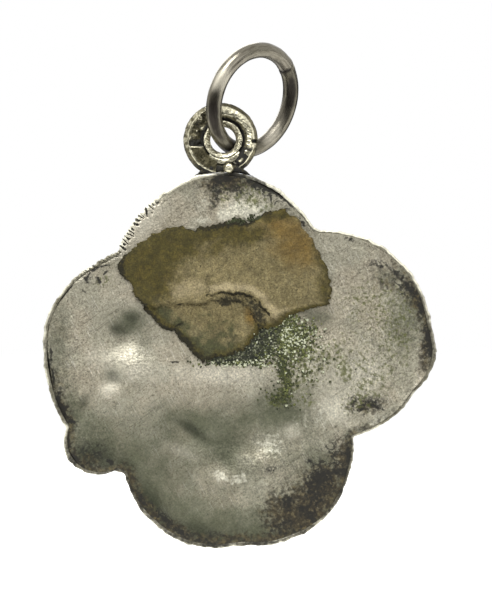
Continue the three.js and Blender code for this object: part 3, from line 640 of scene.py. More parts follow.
        (7.2, 0.5, 3.0, 4.0, 0, 0.9), (0.3, 7.6, 3.2, 1.4, 0, 0.9), (-8.8, -1.0, 1.2, 3.6, 0, 0.8),
        (3.5, -7.2, 2.0, 2.4, 0, 0.9), (-7.6, -5.3, 1.3, 1.0, 0, 0.8), (2.7, 0.2, 1.8, 1.6, 0, 0.9),
        (-6.0, -0.3, 1.4, 1.0, 0, 0.6), (0.8, -5.6, 2.4, 1.0, 0, 0.8), (-0.6, -1.2, 2.8, 0.7, 0, 0.6)],
}


def plateHeight(x, y):
    # flat face less the hollows, with shallow waves left by the hammer and by wear
    waves = 0.022 * roughness(x, y, 2.4, 41) + 0.006 * roughness(x, y, 0.5, 45, 2)
    return plateBack - depths(x, y, plateShape["hollows"]) + waves


def polar(radius, bearing, height):
    return setAbout(centre, *flat(radius, bearing), height)


def makeBackPlate():
    # Rings of points shrink from the seam to the middle, on the back and again on the front of the
    # sheet. Near the seam the face runs down into the gap, or up to the rim where solder fills it
    shape = plateShape
    bearing = spreadBearings(shape["bearings"])
    opened = arcs(bearing, edgeShape["openSeam"])
    edge = outlineRadius(bearing) - shape["rim"] - shape["seam"] * opened + 0.02 * (1 - opened)
    share = 1 - (1 - np.linspace(0, 1, shape["rings"])[:, None]) ** 1.4  # closer towards the seam
    radius = share * edge
    fromEdge = edge - radius
    close = hump(fromEdge, 0.14)
    strokes = fileStrokes(bearing + 0 * radius, fromEdge + shape["rim"])
    face = plateHeight(*flat(radius, bearing)) + close * (0.03 * (1 - opened) - 0.05 * opened)
    face = face - 0.09 * strokes
    under = np.linspace(1, 0, 12)[:, None]
    inner = under * edge
    lining = plateHeight(*flat(inner, bearing)) - shape["thickness"]
    wall = face[-1:] - np.array([[0.08], [0.16]])
    radii = np.concatenate([radius, edge[None] * np.ones((2, 1)), inner])
    heights = np.concatenate([face, wall, lining])
    grid = polar(radii, bearing, heights)
    broken = ramp(-0.3, 0.5, lineNoise(bearing * 9, 0.9, 35, layers=3))
    ragged = 0.03 + 0.05 * opened * (0.5 + 0.5 * broken)
    gap = hump(edge - radii, ragged) * (0.2 + 0.9 * broken) * ramp(0.1, 0.5, opened)
    filed = fileStrokes(bearing + 0 * radii, edge - radii + shape["rim"])
    beside = hump(bearing / degree - 130, 14, 4) * hump(edge - radii, 0.2, 4) * (1 - filed)
    dirt = arcs(bearing, edgeShape["plateDirt"]) * hump(edge - radii, 0.5)
    masks = {name: spots(*flat(radii, bearing), shape[name]) for name in (
        "grime", "verdigris", "pale", "dull", "cracks", "rubbed", "deep", "rough", "stain")}
    masks["rough"] = 0.45 + 0.55 * masks["rough"]
    for name, more in (("grime", gap), ("grime", 1.1 * filed), ("rubbed", 0.9 * beside), ("dull", dirt),
                       ("cracks", 0.5 * dirt), ("deep", 0.6 * dirt), ("stain", 0.75 * dirt)):
        masks[name] = np.maximum(masks[name], more)
    return makePiece("backPlate", grid, masks)


# Rolled silver sheet, tarnished and rubbed: a dull warm grey with a satin sheen, fine dark pits,
# brown stains, green verdigris and pale worn places. The dull and deep tarnish is partly painted
# shade in and above the dents, and the rubbed and pale places partly painted highlights
sheetSilver = layeredMaterial("TarnishedSilverSheet", {
    "colour": "#b9b4a0", "metallic": 0.6, "roughness": 0.42,
    "cloudColour": "#a4a08d", "cloudSize": 2.6, "cloudRoughness": 0.5,
    "mottle": [(1.3, 0.45, 0.7, 0.35, "#8d8570"), (1.9, 0.48, 0.62, 0.35, "#beb19b"),
               (0.22, 0.5, 0.7, 0.25, "#77725f"),
               (0.1, 0.58, 0.68, 0.65, "#4a4431")],
    "scratches": [(35, 1.4, 0.05, 0.6, 0.68, 0.4, "#4a4534"), (118, 1.0, 0.05, 0.61, 0.69, 0.35, "#efeadb"),
                  (75, 0.9, 0.05, 0.62, 0.7, 0.35, "#514b38")],  # hairlines of 0.02 mm, drawn wider
    "layers": [
        # the dull and deep layers are partly painted shade, the rubbed and pale layers partly painted
        # highlights
        ("dull", "#565945", 0.6, 0.5, 0.8, 0.7, 0.55, 0.95),
        ("deep", "#292d1c", 0.5, 0.5, 0.5, 0.7, 0.5, 0.8),
        ("rubbed", "#e4decb", 0.75, 0.44, 0.5, 0.6, 0.5, 0.95),
        ("pale", "#d4d1be", 0.4, 0.5, 0.2, 1.3, 0.2, 0.7),
        ("stain", "#605436", 0.3, 0.6, 0.24, 2.0, 0.4, 0.85),
        ("stain", "#241e10", 0.2, 0.65, 0.2, 5.0, 0.6, 0.88),
        ("verdigris", "#585c2e", 0.1, 0.8, 0.16, 2.2, 0.22, 0.85),
        ("grime", "#17150d", 0.1, 0.75, 0.14, 1.9, 0.25, 0.95),
        ("cracks", "#191710", 0.1, 0.75, 0.3, 0.8, 0.3, 0.9, 0.0, (0.5, 0.03)),
    ],
    "gritMask": "rough",
    "grit": [(0.085, 0.52, 1.48), (0.2, 0.8, 1.2), (0.5, 0.88, 1.12)],
    "bumps": [(0.6, 0.03, False), (0.12, 0.03, False)],
})
dress(makeBackPlate(), sheetSilver, "silver_back", "charm", "back_plate")

# Front shell: pressed sheet with four domed leaves and a stem, its rim turned back round the plate
shellShape = {
    "thickness": 0.25,
    "rimHeight": 0.75,
    "rimWall": 0.2,
    "dome": 1.05,
    "creaseDepth": 0.62,
    "creaseWidth": 1.1,
    "midribDepth": 0.2,
    "midribWidth": 0.45,
    "stemHeight": 0.75,
    "stemWidth": 0.5,
    "veinDepth": 0.05,
    "veinPitch": 1.15,
    "bearings": 840,
    "skinRings": 76,
    "liningRings": 16,
}


def frontRelief(share, bearing):
    # Each leaf is a dome between two creases with a groove down its middle, and side veins run out
    # from the groove aslant. The stem is a rounded ridge. Returns the height and how deep it lies
    shape = shellShape
    radius = share * outlineRadius(bearing)
    valleys = np.array(outline["valleys"])
    ribs = (valleys + np.append(valleys[1:], valleys[0] + 360)) / 2

    def aside(line):
        t = bearing - line * degree
        return np.where(np.cos(t) > 0, np.abs(radius * np.sin(t)), radius)
    crease = np.max([hump(aside(v), shape["creaseWidth"]) for v in valleys], 0)
    groove = np.max([hump(aside(r), shape["midribWidth"]) for r in ribs], 0)
    fromRib = np.min([aside(r) for r in ribs], 0)
    lines = np.cos(turn * (radius - 0.8 * fromRib) / shape["veinPitch"])
    vein = np.exp(-((1 - lines) / 0.12)) * ramp(0.3, 0.8, fromRib) * (1 - crease) ** 2
    vein = vein * ramp(1.6, 2.4, radius) * (1 - ramp(0.82, 0.95, share))
    fall = np.sqrt(np.maximum(0, 1 - share ** 3))
    leaf = (shape["dome"] * (1 - shape["creaseDepth"] * crease)
            - shape["midribDepth"] * groove * (1 - crease) - shape["veinDepth"] * vein)
    ridge = shape["stemHeight"] * hump(aside(outline["stem"]), shape["stemWidth"])
    height = np.maximum(leaf, ridge) * fall
    return height, np.clip(0.75 * crease ** 6 + 0.65 * groove ** 4 + 0.8 * vein, 0, 1)


def makeFrontShell():
    # From the middle of the front the skin runs out to the edge, turns up as the rim, turns in
    # over its back and returns as the lining one sheet behind the skin
    shape = shellShape
    bearing = spreadBearings(shape["bearings"])
    reach = outlineRadius(bearing)
    opened, strokes = arcs(bearing, edgeShape["openSeam"]), fileStrokes(bearing, 0.12 + 0 * bearing)
    front = rimBack - shape["rimHeight"]
    share = (np.linspace(0, 1, shape["skinRings"]) ** 0.8 * 0.985)[:, None]
    relief, deep = frontRelief(share, bearing[None])
    skin = np.stack([share * reach, front - relief], -1)
    # filed edge: how far in and how high each line of the rim lies
    along = bearing * 9
    nicks = 0.04 * lineNoise(along, 0.5, 51, layers=3) + 0.03 * lineNoise(along, 0.16, 55)
    nicks = np.maximum(nicks + 0.06 * strokes, -0.03)
    top = plateBack + (rimBack - plateBack) * (0.3 + 0.7 * opened) - 0.05 * strokes
    lines = [(-0.004, front + 0.03), (0.0, front + 0.1), (0.0, front + 0.3), (0.0, top - 0.12),
             (0.012, top - 0.06), (0.04, top - 0.018), (0.08, top - 0.003), (0.13, top),
             (shape["rimWall"] - 0.03, top - 0.005), (shape["rimWall"], top - 0.04 - 0.05 * opened),
             (shape["rimWall"], front + 0.35)]
    rim = np.stack([np.stack([reach - inset + nicks * (1 if n < 8 else 0.3), height + 0 * reach], -1)
                    for n, (inset, height) in enumerate(lines)])
    back = (np.linspace(1, 0, shape["liningRings"]) ** 0.8 * 0.95)[:, None]
    radius = back * (reach - shape["rimWall"])
    liningRelief, _ = frontRelief(radius / reach, bearing[None])
    lining = np.stack([radius, front + shape["thickness"] - liningRelief], -1)
    profile = np.concatenate([skin, rim, lining])
    grid = polar(profile[..., 0], bearing, profile[..., 1])
    blank = np.zeros((len(lining), len(bearing)))
    dirty = arcs(bearing, edgeShape["rimDirt"])
    uneven = 0.4 * lineNoise(along, 0.7, 57) + 0.25 * lineNoise(along, 0.2, 58)
    # broad and fine: painted highlight lines along the rim, the broad ones at its top, over worn metal
    broad = np.clip(1.15 * arcs(bearing, edgeShape["broadBright"]) + uneven * 0.5, 0, 1)
    fine = np.clip(arcs(bearing, edgeShape["thinBright"]) + 0.15 + uneven, 0, 1)
    edge = (np.array([0, 0.1, 0.25, 0.6, 1, 1, 1, 1, 0.8, 0, 0])[:, None] * broad
            + np.array([0, 0.1, 0.3, 0.8, 1, 1, 0.85, 0.3, 0, 0, 0])[:, None] * fine * (1 - 0.5 * dirty))
    edge = np.minimum(edge, 1)
    seam = np.array([0.1, 0.1, 0.12, 0.1, 0, 0, 0, 0.1, 0.5, 1, 1])[:, None] * (0.2 + 0.8 * opened)
    onRim = np.array([0.3, 0.4, 0.5, 0.5, 0.55, 0.75, 1, 1, 1, 1, 1])[:, None]
    seam = np.maximum(seam, dirty * onRim * (0.75 + 0.25 * lineNoise(along, 0.4, 59)))
    worn = np.concatenate([ramp(0.75, 1.05, relief / shape["dome"]) * (1 - deep), 0 * edge, blank])
    glint = np.concatenate([0 * deep, edge, blank])
    stain = spots(*flat(profile[..., 0], bearing), plateShape["grime"])
    isRim = np.concatenate([np.zeros_like(deep), np.ones_like(edge), blank])
    inset = np.array([inset for inset, _ in lines])[:, None]
    filed = fileStrokes(bearing + 0 * inset, inset + 0 * bearing)
    grime = np.concatenate([0.9 * deep, np.maximum(seam, 1.1 * filed), blank + 0.7])
    return makePiece("frontShell", grid, {
        "grime": np.maximum(grime, 0.7 * stain * isRim), "worn": worn, "glint": glint})


# Pressed silver: the same tarnish in the creases, but polished by wear on the domes and the rim,
# with painted highlight lines along the rim
pressedSilver = layeredMaterial("PressedSilverWorn", {
    "colour": "#a39f8e", "metallic": 0.8, "roughness": 0.38,
    "cloudColour": "#86826f", "cloudSize": 1.4, "cloudRoughness": 0.48,
    "mottle": [(0.5, 0.45, 0.7, 0.5, "#6b6654"), (0.14, 0.5, 0.66, 0.6, "#4a4535")],
    "layers": [
        ("worn", "#d9d5c6", 1.0, 0.27, 0.5, 0.6, 0.4, 0.88),
        ("glint", "#f6f2dc", 0.4, 0.42, 0.4, 0.6, 0.35, 0.95),
        ("grime", "#1f1d14", 0.2, 0.7, 0.18, 0.9, 0.25, 0.95),
    ],
    "grit": [(0.14, 0.75, 1.25), (0.6, 0.85, 1.15)],
    "bumps": [(0.7, 0.02, False), (0.13, 0.006, False)],
})
dress(makeFrontShell(), pressedSilver, "silver_front", "charm", "front_shell")

# Eye: outer ring of thick wire with a sunken stretch on its left, a step and a nick
eyeShape = {
    "outerBand": 0.73,
    "groove": 0.06,
    "offset": 0.12,
    "innerBand": 0.33,
    "section": [  # share of the band from inside to outside, height over the middle
        (0, 0), (0, 0.24), (0.03, 0.31), (0.09, 0.345), (0.35, 0.36), (0.66, 0.36), (0.74, 0.35),
        (0.8, 0.29), (0.91, 0.18), (0.99, 0.05), (1, 0), (1, -0.06), (0.95, -0.2), (0.85, -0.31),
        (0.6, -0.36), (0.3, -0.36), (0.08, -0.33), (0, -0.24)],
    "innerThickness": 0.5,
    "drops": (0.27, 0.16),  # how far it is sunk on the upper left and beside the foot
    "sunkTop": (98, 230),   # bearings between which it is sunk, upper left
    "sunkFoot": (262, 306),  # and beside the foot
    "step": 0.33,           # how far below the middle the wire's end stands full again
    "stepBearings": (150, 262),
    "foot": (272, 52),      # bearing and half width of the part in the solder
    "dirtyPart": (322, 25),
    "bearings": 540,
    "innerBearings": 420,
    "around": 72,
    "crescent": (228, 96, 0.285),  # where it begins, how far it runs, how high it lies
}
innerRadius = (innerHigh[0] - innerLow[0]) / 2
outerInside = innerRadius + eyeShape["groove"] + eyeShape["offset"]


def clearOfSheets(points, gap=0.0):
    # a point inside the clover's outline is pushed straight out to it, as a file would seat it
    x, y = points[..., 0] - centre[0], points[..., 1] - centre[1]
    reach = outlineRadius(np.arctan2(y, x)) + gap
    push = np.maximum(1, reach / np.maximum(np.hypot(x, y), 1e-6))
    atEdge = np.abs(points[..., 2] - centre[2]) < 0.42  # millimetres from the middle of the edge
    push = np.where(atEdge, push, 1)
    return np.stack([centre[0] + x * push, centre[1] + y * push, points[..., 2]], -1)


def alongSection(rows, count):
    # a closed section, drawn as even steps along its own length. Rows are across and height
    closed = np.array(rows + rows[:1])
    length = np.concatenate([[0], np.cumsum(np.hypot(*np.diff(closed, axis=0).T))])
    place = np.linspace(0, length[-1], count, endpoint=False)
    return np.interp(place, length, closed[:, 0])[None], np.interp(place, length, closed[:, 1])[None]


def makeOuterRing():
    # A section with a flat back face and a sloped outer shoulder, carried round the eye's centre
    # and drawn in on the left to meet the inner ring. The face is sunk where the wire has dropped,
    # rounded on the right, flat where the wire's end stands full on the lower left
    shape = eyeShape
    bearing = np.arange(shape["bearings"])[:, None] * turn / shape["bearings"]
    angle = bearing / degree
    share, height = alongSection(shape["section"], shape["around"])
    share, height = share + 0 * bearing, height + 0 * bearing
    inside = innerRadius + shape["groove"] + shape["offset"] * np.cos(bearing)
    radius = inside + (outerInside + shape["outerBand"] - inside) * share
    x, y = flat(radius, bearing)
    left = (angle > shape["stepBearings"][0]) & (angle < shape["stepBearings"][1])
    full = ramp(shape["step"] - 0.03, shape["step"] + 0.03, -y) * left
    # stepEdge: the step's upward face, painted as a highlight
    stepEdge = hump(-y - shape["step"] - 0.02, 0.035) * left
    back = ramp(0.05, 0.3, height)
    face = ramp(0.0, 0.06, share) * (1 - ramp(0.68, 0.76, share))
    start, end = shape["sunkTop"]
    upper = ramp(start - 1.5, start + 1.5, angle) * (angle < end) * (1 - full)
    start, end = shape["sunkFoot"]
    lower = ramp(start - 1.5, start + 1.5, angle) - ramp(end - 1.5, end + 1.5, angle)
    grit = np.clip(upper + lower, 0, 1) * face * back
    height = height - (shape["drops"][0] * upper + shape["drops"][1] * lower) * face * back
    height = height - 0.14 * ((share - 0.5) / 0.5) ** 2 * back * (1 - full) * (1 - grit)
    rough = roughness(x, y, 0.2, 64)
    height = height + back * (0.03 * roughness(x, y, 0.5, 61) + 0.09 * grit * rough)
    hatch = np.sin(38 * (x * 0.4 + y) + 4.5 * softNoise(x, y, 0.3, 66)) + softNoise(x, y, 0.15, 65)
    marks = back * face * hump(apartFrom(angle, 8), 32, 4)
    # a nick on the right, two degrees below level, and a flake of bright metal under it
    notch = back * hump((angle + 180) % 360 - 178, 3, 4) * ramp(0.55, 0.7, share)
    flake = back * hump((angle + 180) % 360 - 171, 3.5, 4) * ramp(0.4, 0.55, share)
    height = height - 0.02 * marks * ramp(0, 1, hatch) - 0.2 * notch + 0.04 * flake
    radius = radius + 0.012 * roughness(np.cos(bearing) * 9 + height * 2, np.sin(bearing) * 9, 1.0, 67)
    grid = clearOfSheets(setAbout(eyeCentre, *flat(radius, bearing), height))
    foot = hump(angle - shape["foot"][0], shape["foot"][1], 4)
    shoulder = ramp(0.72, 0.8, share)
    nearStep = grit * ramp(-0.3, 0.2, -y) * left
    # inner: painted shade on the band towards the groove
    inner = hump(share, 0.16) * (1 - 0.6 * full)
    lowRight = face * back * hump(angle - shape["dirtyPart"][0], shape["dirtyPart"][1], 4)
    # bright: facets kept clear of the dirt, so that they show as painted highlights on partly worn metal
    bright = (hump(angle - 334, 5, 4) * ramp(0.2, 0.35, share)
              + hump(angle - 315, 6, 4) * hump(share - 0.45, 0.12))
    lowRight = lowRight * (1 - 0.8 * np.clip(bright, 0, 1))
    # dirt in the sunken grit and by the step, painted shade towards the groove, and painted shadow with
    # solder dirt on the shoulder beside the foot
    grime = np.max([0.45 * grit, 0.85 * nearStep, 0.9 * inner, 0.95 * foot * shoulder,
                    0.55 * face * lower, 0.12 * full * face, 0.95 * lowRight], 0) * (1 - stepEdge)
    worn = back * face * (1 - grit) * (0.9 - 0.7 * full) * ramp(0.08, 0.4, share) * (1 - 0.5 * foot)
    worn = worn * (0.6 + 0.4 * ramp(-0.4, 0.4, softNoise(x, y, 0.35, 68))) * (1 - 0.8 * lowRight)
    # upLeft: painted light on the upper left shoulder, the side towards the main lamp
    upLeft = hump(angle - 145, 75, 4)
    worn = np.maximum(worn, 0.42 * upLeft * shoulder * (1 - foot) * ramp(-0.3, 0.0, height))
    worn = np.max([worn, 0.9 * grit * ramp(0.35, 0.8, rough) * (1 - nearStep),
                   stepEdge * back * face, flake], 0)
    lip = hump(share - 0.72, 0.07) * back
    worn = np.maximum(worn, lip * (1 - 0.35 * foot)) * (1 - notch)
    return makePiece("eyeOuterRing", grid, {
        "grime": np.maximum(grime * back + 0.5 * (1 - back), notch), "worn": worn}, loop=True)


def makeInnerRing():
    # Section of a countersunk ring: the bore opens towards both faces as the slanting wire needs,
    # and the back face and the countersink are crossed by file cuts
    shape = eyeShape
    bearing = np.arange(shape["innerBearings"])[:, None] * turn / shape["innerBearings"]
    narrow = innerRadius - shape["innerBand"]
    back, front = shape["innerThickness"] / 2 - 0.1, -shape["innerThickness"] / 2 - 0.1
    radius, height = alongSection([
        (narrow, 0.0), (narrow + 0.055, 0.05), (narrow + 0.12, 0.1), (narrow + 0.19, back),
        (narrow + 0.22, back + 0.02), (innerRadius - 0.03, back + 0.02), (innerRadius, back - 0.02),
        (innerRadius + 0.01, 0.0), (innerRadius, front + 0.06), (innerRadius - 0.015, front),
        (narrow + 0.3, front), (narrow + 0.255, front + 0.05), (narrow + 0.15, front + 0.16),
        (narrow + 0.04, -0.09), (narrow, -0.04)], shape["around"])
    radius, height = radius + 0 * bearing, height + 0 * bearing
    onBack = ramp(-0.01, 0.03, height) * (1 - ramp(innerRadius - 0.02, innerRadius, radius))
    x, y = flat(radius, bearing)
    hatch = np.sin(40 * (y + 0.3 * x) + 4.5 * softNoise(x, y, 0.25, 71)) * np.cos(bearing) ** 2
    scars = roughness(x, y, 0.3, 73)
    height = height - onBack * (0.02 * ramp(0.2, 0.9, hatch) + 0.04 * ramp(0.1, 0.9, scars))
    radius = radius + 0.015 * roughness(x, y, 0.4, 75) * ramp(narrow + 0.2, innerRadius, radius)
    # 1 - onBack is painted shade in the bore and on the faces off the back; the hatch and scars are dirt in
    # file marks
    grime = np.maximum(1 - onBack, 0.45 * ramp(0.35, 0.9, hatch))
    grime = grime + 0.5 * onBack * ramp(0.55, 0.9, scars)
    return makePiece("eyeInnerRing", setAbout(bore, *flat(radius, bearing), height), {
        "grime": 0.85 * np.clip(grime, 0, 1),
        "worn": onBack * (0.8 + 0.2 * ramp(0.3, -0.5, hatch))}, loop=True)


def makeEyeWeb():
    # a flat black band between the two rings, painted shade in the groove with packed dirt: a rounded
    # section carried round
    bearing = np.arange(180)[:, None] * turn / 180
    around = np.arange(16)[None] * turn / 16
    rounded = np.sign(np.cos(around)) * np.abs(np.cos(around)) ** 0.5
    radius = innerRadius + 0.03 + 0.12 * rounded + 0 * bearing
    x, y = flat(radius, bearing)
    height = 0.1 * np.sin(around) + 0.03 * roughness(x, y, 0.2, 77) * ramp(0, 0.5, np.sin(around))
    return makePiece("eyeWeb", setAbout((*bore[:2], eyeCentre[2]), x, y, height), {
        "grime": 1 + 0 * radius, "worn": 0 * radius}, loop=True)


def makeFoot():
    # Sections along the clover's edge, each a flattened round. They are tallest under the ring
    # and sink to nothing on both sides, so that the solder fills the two wedges
    shape = {"halfLength": 1.95, "tall": 0.42, "deep": 0.33}
    away = np.hypot(*(eyeCentre - centre)[:2])
    middle = math.atan2(eyeCentre[1] - centre[1], eyeCentre[0] - centre[0])
    share = np.linspace(-1, 1, 100)[:, None]
    around = np.arange(40)[None] * turn / 40
    bearing = middle + share * shape["halfLength"] / away
    tall = shape["tall"] * (1 - ramp(0.35, 1.0, np.abs(share))) + 0.004
    deep = shape["deep"] * (1 - 0.6 * ramp(0.3, 1.0, np.abs(share)))
    c, s = np.cos(around), np.sin(around)
    radius = outlineRadius(bearing) + 0.012 + tall / 2 * (1 + np.sign(c) * np.abs(c) ** 0.7)
    x, y = flat(radius, bearing)
    radius = radius + 0.03 * roughness(x, y, 0.3, 79) * ramp(-0.2, 0.6, c) * (tall > 0.05)
    height = deep * np.sign(s) * np.abs(s) ** 0.8
    height = height + 0.03 * roughness(x, y, 0.3, 83) * ramp(0, 0.6, s)
    return makePiece("solderFoot", polar(radius, bearing, height), {
        "grime": 0.55 + 0.3 * ramp(0.5, -0.8, c) + 0 * share,
        "worn": 0.2 * ramp(0.5, 1, s) + 0 * share})


def makeEyeLayer():
    # a thin crescent between two arcs, thickest in its middle: the end of the wire wrapped under
    # the inner ring
    share = np.linspace(0, 1, 90)[:, None]
    around = np.arange(28)[None] * turn / 28
    start, run, level = eyeShape["crescent"]
    bearing = (start + run * share) * degree
    full = np.sin(math.pi * share) ** 0.5
    middle = innerRadius + 0.02 + 0.1 * full
    half = 0.16 * full + 0.004
    radius = middle + half * np.cos(around)
    height = level + 0.07 * np.sin(around) * (full + 0.02)
    x, y = flat(radius, bearing)
    height = height + 0.015 * roughness(x, y, 0.25, 81) * ramp(0, 0.6, np.sin(around))
    grime = ramp(0.5, 1, np.abs(np.cos(around))) + 0 * share
    return makePiece("eyeLayer", setAbout((*bore[:2], eyeCentre[2]), x, y, height), {
        "grime": 0.7 * grime, "worn": 0.8 * (1 - grime)})


def makeBead():
    # a flattened ball, its radius rippled by a slow spiral where the solder froze
    shape = {"radius": 0.26, "height": 0.34, "bearing": 286, "level": 0.3}
    around = np.arange(64)[None] * turn / 64
    up = np.linspace(-90, 90, 40)[:, None] * degree
    ripple = 0.035 * np.sin(2 * around + 9 * up)
    radius = shape["radius"] * np.cos(up) * (1 + ripple)
    dents = softNoise(np.cos(around) * 2 + 0 * up, np.sin(around) * 2 + up, 0.7, 91)
    radius = radius + 0.02 * dents * np.cos(up)
    height = shape["level"] + shape["height"] / 2 * (1 + np.sin(up)) * (1 + 0.5 * ripple)
    reach = outerInside + eyeShape["outerBand"] * 0.46
    x = eyeCentre[0] + reach * math.cos(shape["bearing"] * degree) + radius * np.cos(around)
    y = eyeCentre[1] + reach * math.sin(shape["bearing"] * degree) + radius * np.sin(around)
    grid = np.stack([x, y, eyeCentre[2] + height + 0 * around], -1)
    return makePiece("solderBead", grid, {
        "grime": ramp(0.5, -0.3, np.sin(up)) + 0 * around,
        "worn": 0.8 * ramp(0.3, 0.9, np.sin(up)) + 0 * around})


# Filed silver: bright on the high places, with grime in the file marks. Painted shade with packed dirt
# darkens the grooves and the bore, and painted highlights lie on the step, facets and upper left shoulder
filedSilver = layeredMaterial("FiledSilver", {
    "colour": "#7d775f", "metallic": 0.9, "roughness": 0.34,
    "cloudColour": "#5c5741", "cloudSize": 0.5, "cloudRoughness": 0.45,
    "mottle": [(0.3, 0.45, 0.65, 0.5, "#4a4632"), (0.12, 0.52, 0.66, 0.8, "#2a271a")],
    "layers": [
        ("worn", "#e9e3c6", 1.0, 0.3, 0.2, 1.3, 0.25, 0.9),
        ("grime", "#12110a", 0.1, 0.7, 0.14, 0.8, 0.2, 0.97),
    ],
    "grit": [(0.1, 0.65, 1.35), (0.3, 0.75, 1.25)],
    "bumps": [(0.2, 0.03, False), (0.08, 0.012, False)],
})
dress(makeOuterRing(), filedSilver, "silver_eye", "charm", "eye_outer_ring")
dress(makeInnerRing(), filedSilver, "silver_eye", "charm", "eye_inner_ring")
dress(makeEyeLayer(), filedSilver, "silver_eye", "charm")
dress(makeEyeWeb(), filedSilver, "silver_eye", "charm")
dress(makeFoot(), filedSilver, "solder", "charm", "solder_foot")
dress(makeBead(), filedSilver, "solder", "charm", "solder_bead")

# Backing scrap: old paper, stuck down, torn and creased
scrapShape = {
    "middle": (-0.76, 3.41),
    "lift": 0.03,
    "thickness": 0.16,
    "tear": 0.11,
    "bearings": 900,
    "rings": 100,
    "corners": [
        (-6.26, 4.53), (-5.29, 5.45), (-3.92, 6.21), (-3.41, 6.36), (-2.9, 6.41), (-2.75, 6.21),
        (-1.78, 6.36), (-0.87, 6.45), (-0.5, 6.5), (-0.1, 6.7), (0.36, 6.45), (0.81, 6.75), (1.5, 7.12),
        (2.24, 7.23), (3.1, 6.57), (3.87, 5.29), (4.33, 4.48), (4.73, 3.1), (4.53, 2.39), (2.85, 1.93),
        (2.29, 1.68), (1.88, 1.22), (0.97, 1.07), (0.66, 0.61), (0.31, 0.1), (-0.36, -0.2),
        (-1.22, -0.36), (-1.88, -0.51), (-2.75, 0.25), (-3.41, 1.02), (-3.77, 1.07), (-4.33, 1.53),
        (-4.78, 2.04), (-5.29, 2.85), (-5.55, 3.46), (-6.21, 4.07)],
    "crease": [
        (-4.78, 2.24), (-3.41, 2.36), (-2.44, 2.39), (-1.83, 2.47), (-1.02, 2.62), (-0.25, 2.52),
        (0.15, 2.44), (0.56, 2.06), (0.92, 1.53), (1.02, 1.22)],
    "upperCrease": [
        (-1.63, 2.8), (-0.94, 3.0), (-0.2, 2.97), (0.41, 2.82), (0.8, 2.55), (1.2, 2.2), (1.5, 1.85)],
    "flakeLine": [(0.1, 2.6), (0.5, 2.45), (0.85, 2.1), (1.1, 1.75), (1.25, 1.5)],
    "lowerCrease": [(-4.07, 1.02), (-3.46, 1.22), (-2.85, 1.4)],
    "thinCrease": [(-1.99, 4.38), (-1.83, 3.77), (-1.63, 3.33), (-1.48, 3.05)],
    "shadeLine": [
        (-4.9, 1.2), (-4.3, 2.3), (-3.59, 3.4), (-3.0, 4.3), (-1.78, 5.1), (-0.81, 5.6), (0.15, 5.95),
        (1.6, 6.5)],
    "foldHeights": (0.17, 0.08, 0.15),  # over the left and right of the crease, over the upper crease
    "foldWidths": (0.62, 0.5),
    # rows of spots, as on the back plate
    "crushed": [
        (0.8, 2.1, 0.8, 0.45, -50, 1.0), (-0.6, 2.7, 1.0, 0.22, 0, 0.8), (-2.2, 2.9, 0.8, 0.3, 10, 0.5),
        (-2.9, 1.9, 1.0, 0.3, 10, 0.5)],
    "cleanEdge": [(3.2, 5.9, 1.5, 0.9, -52, 1.0), (-4.6, 5.6, 1.4, 0.5, 35, 0.5)],
    "dark": [
        (4.3, 3.2, 0.5, 0.9, 0, 0.7), (-0.6, 6.1, 1.4, 0.45, 5, 0.9), (0.1, 5.8, 1.5, 0.6, 8, 0.75),
        (-4.6, 2.6, 0.6, 0.8, 0, 0.5), (-1.6, 5.0, 0.8, 0.4, 30, 0.5)],
    "grey": [
        (-2.9, 0.7, 1.6, 0.6, -42, 0.95), (-1.2, 0.0, 1.5, 0.6, 8, 0.95),
        (-1.6, 0.9, 1.5, 0.7, -15, 0.45), (-0.6, 1.35, 0.4, 0.6, 10, 0.5),
        (-1.7, 1.9, 0.5, 0.25, 0, 0.4), (-3.9, 1.8, 0.9, 0.5, -30, 0.6)],
    "warm": [
        (2.9, 5.4, 1.6, 1.3, -40, 0.85), (0.5, 1.75, 0.3, 0.55, 20, 0.95),
        (-4.6, 4.2, 1.3, 0.9, 0, 0.55), (1.9, 6.5, 0.9, 0.6, 0, 0.7), (-3.2, 5.3, 1.3, 0.6, 10, 0.35)],
    # underFold: painted shade under the folds
    "underFold": [
        (0.8, 2.2, 0.8, 0.42, -50, 0.7), (-0.5, 2.68, 0.9, 0.2, 0, 0.6),
        (1.05, 1.5, 0.3, 0.45, 10, 0.6), (-3.2, 1.3, 0.6, 0.2, 20, 0.5),
        (-0.75, 2.45, 0.35, 0.2, 0, 0.95), (-4.0, 2.0, 0.7, 0.35, -10, 0.35)],
    "blackEdge": [
        (-3.0, 0.4, 1.6, 0.7, -42, 1.0), (-1.7, -0.5, 1.0, 0.6, 0, 1.0), (0.2, -0.2, 1.2, 0.4, 10, 1.0),
        (-6.1, 4.2, 0.5, 0.6, 0, 0.9), (0.2, 6.7, 1.3, 0.4, 15, 1.0), (4.6, 2.6, 0.4, 0.7, 0, 0.5),
        (-4.9, 2.2, 0.8, 0.3, -50, 0.6), (-1.3, 6.3, 0.9, 0.3, 0, 0.6)],
    # ridges: spots of painted highlight on the folds
    "ridges": [(1.9, 1.9, 0.9, 0.25, 20, 0.8), (-2.3, 1.0, 1.0, 0.5, -10, 0.4)],
}


def tornReach(shape, bearing, tear, seed):
    # distance from the middle to the torn edge: straight tears between the corners, in polar
    # form, with soft noise for the ragged fibres
    corners = np.array(shape["corners"]) - shape["middle"]
    ahead = np.roll(corners, -1, 0)
    steps = np.linspace(0, 1, 14, endpoint=False)[:, None, None]
    edge = (corners * (1 - steps) + ahead * steps).reshape(-1, 2)
    bearings = np.arctan2(edge[:, 1], edge[:, 0])
    order = np.argsort(bearings)
    reach = np.interp(bearing, bearings[order], np.hypot(edge[:, 0], edge[:, 1])[order], period=turn)
    x, y = flat(reach, bearing)
    return reach + tear * roughness(x, y, 0.4, seed) + 0.55 * tear * softNoise(x, y, 0.09, seed + 3)


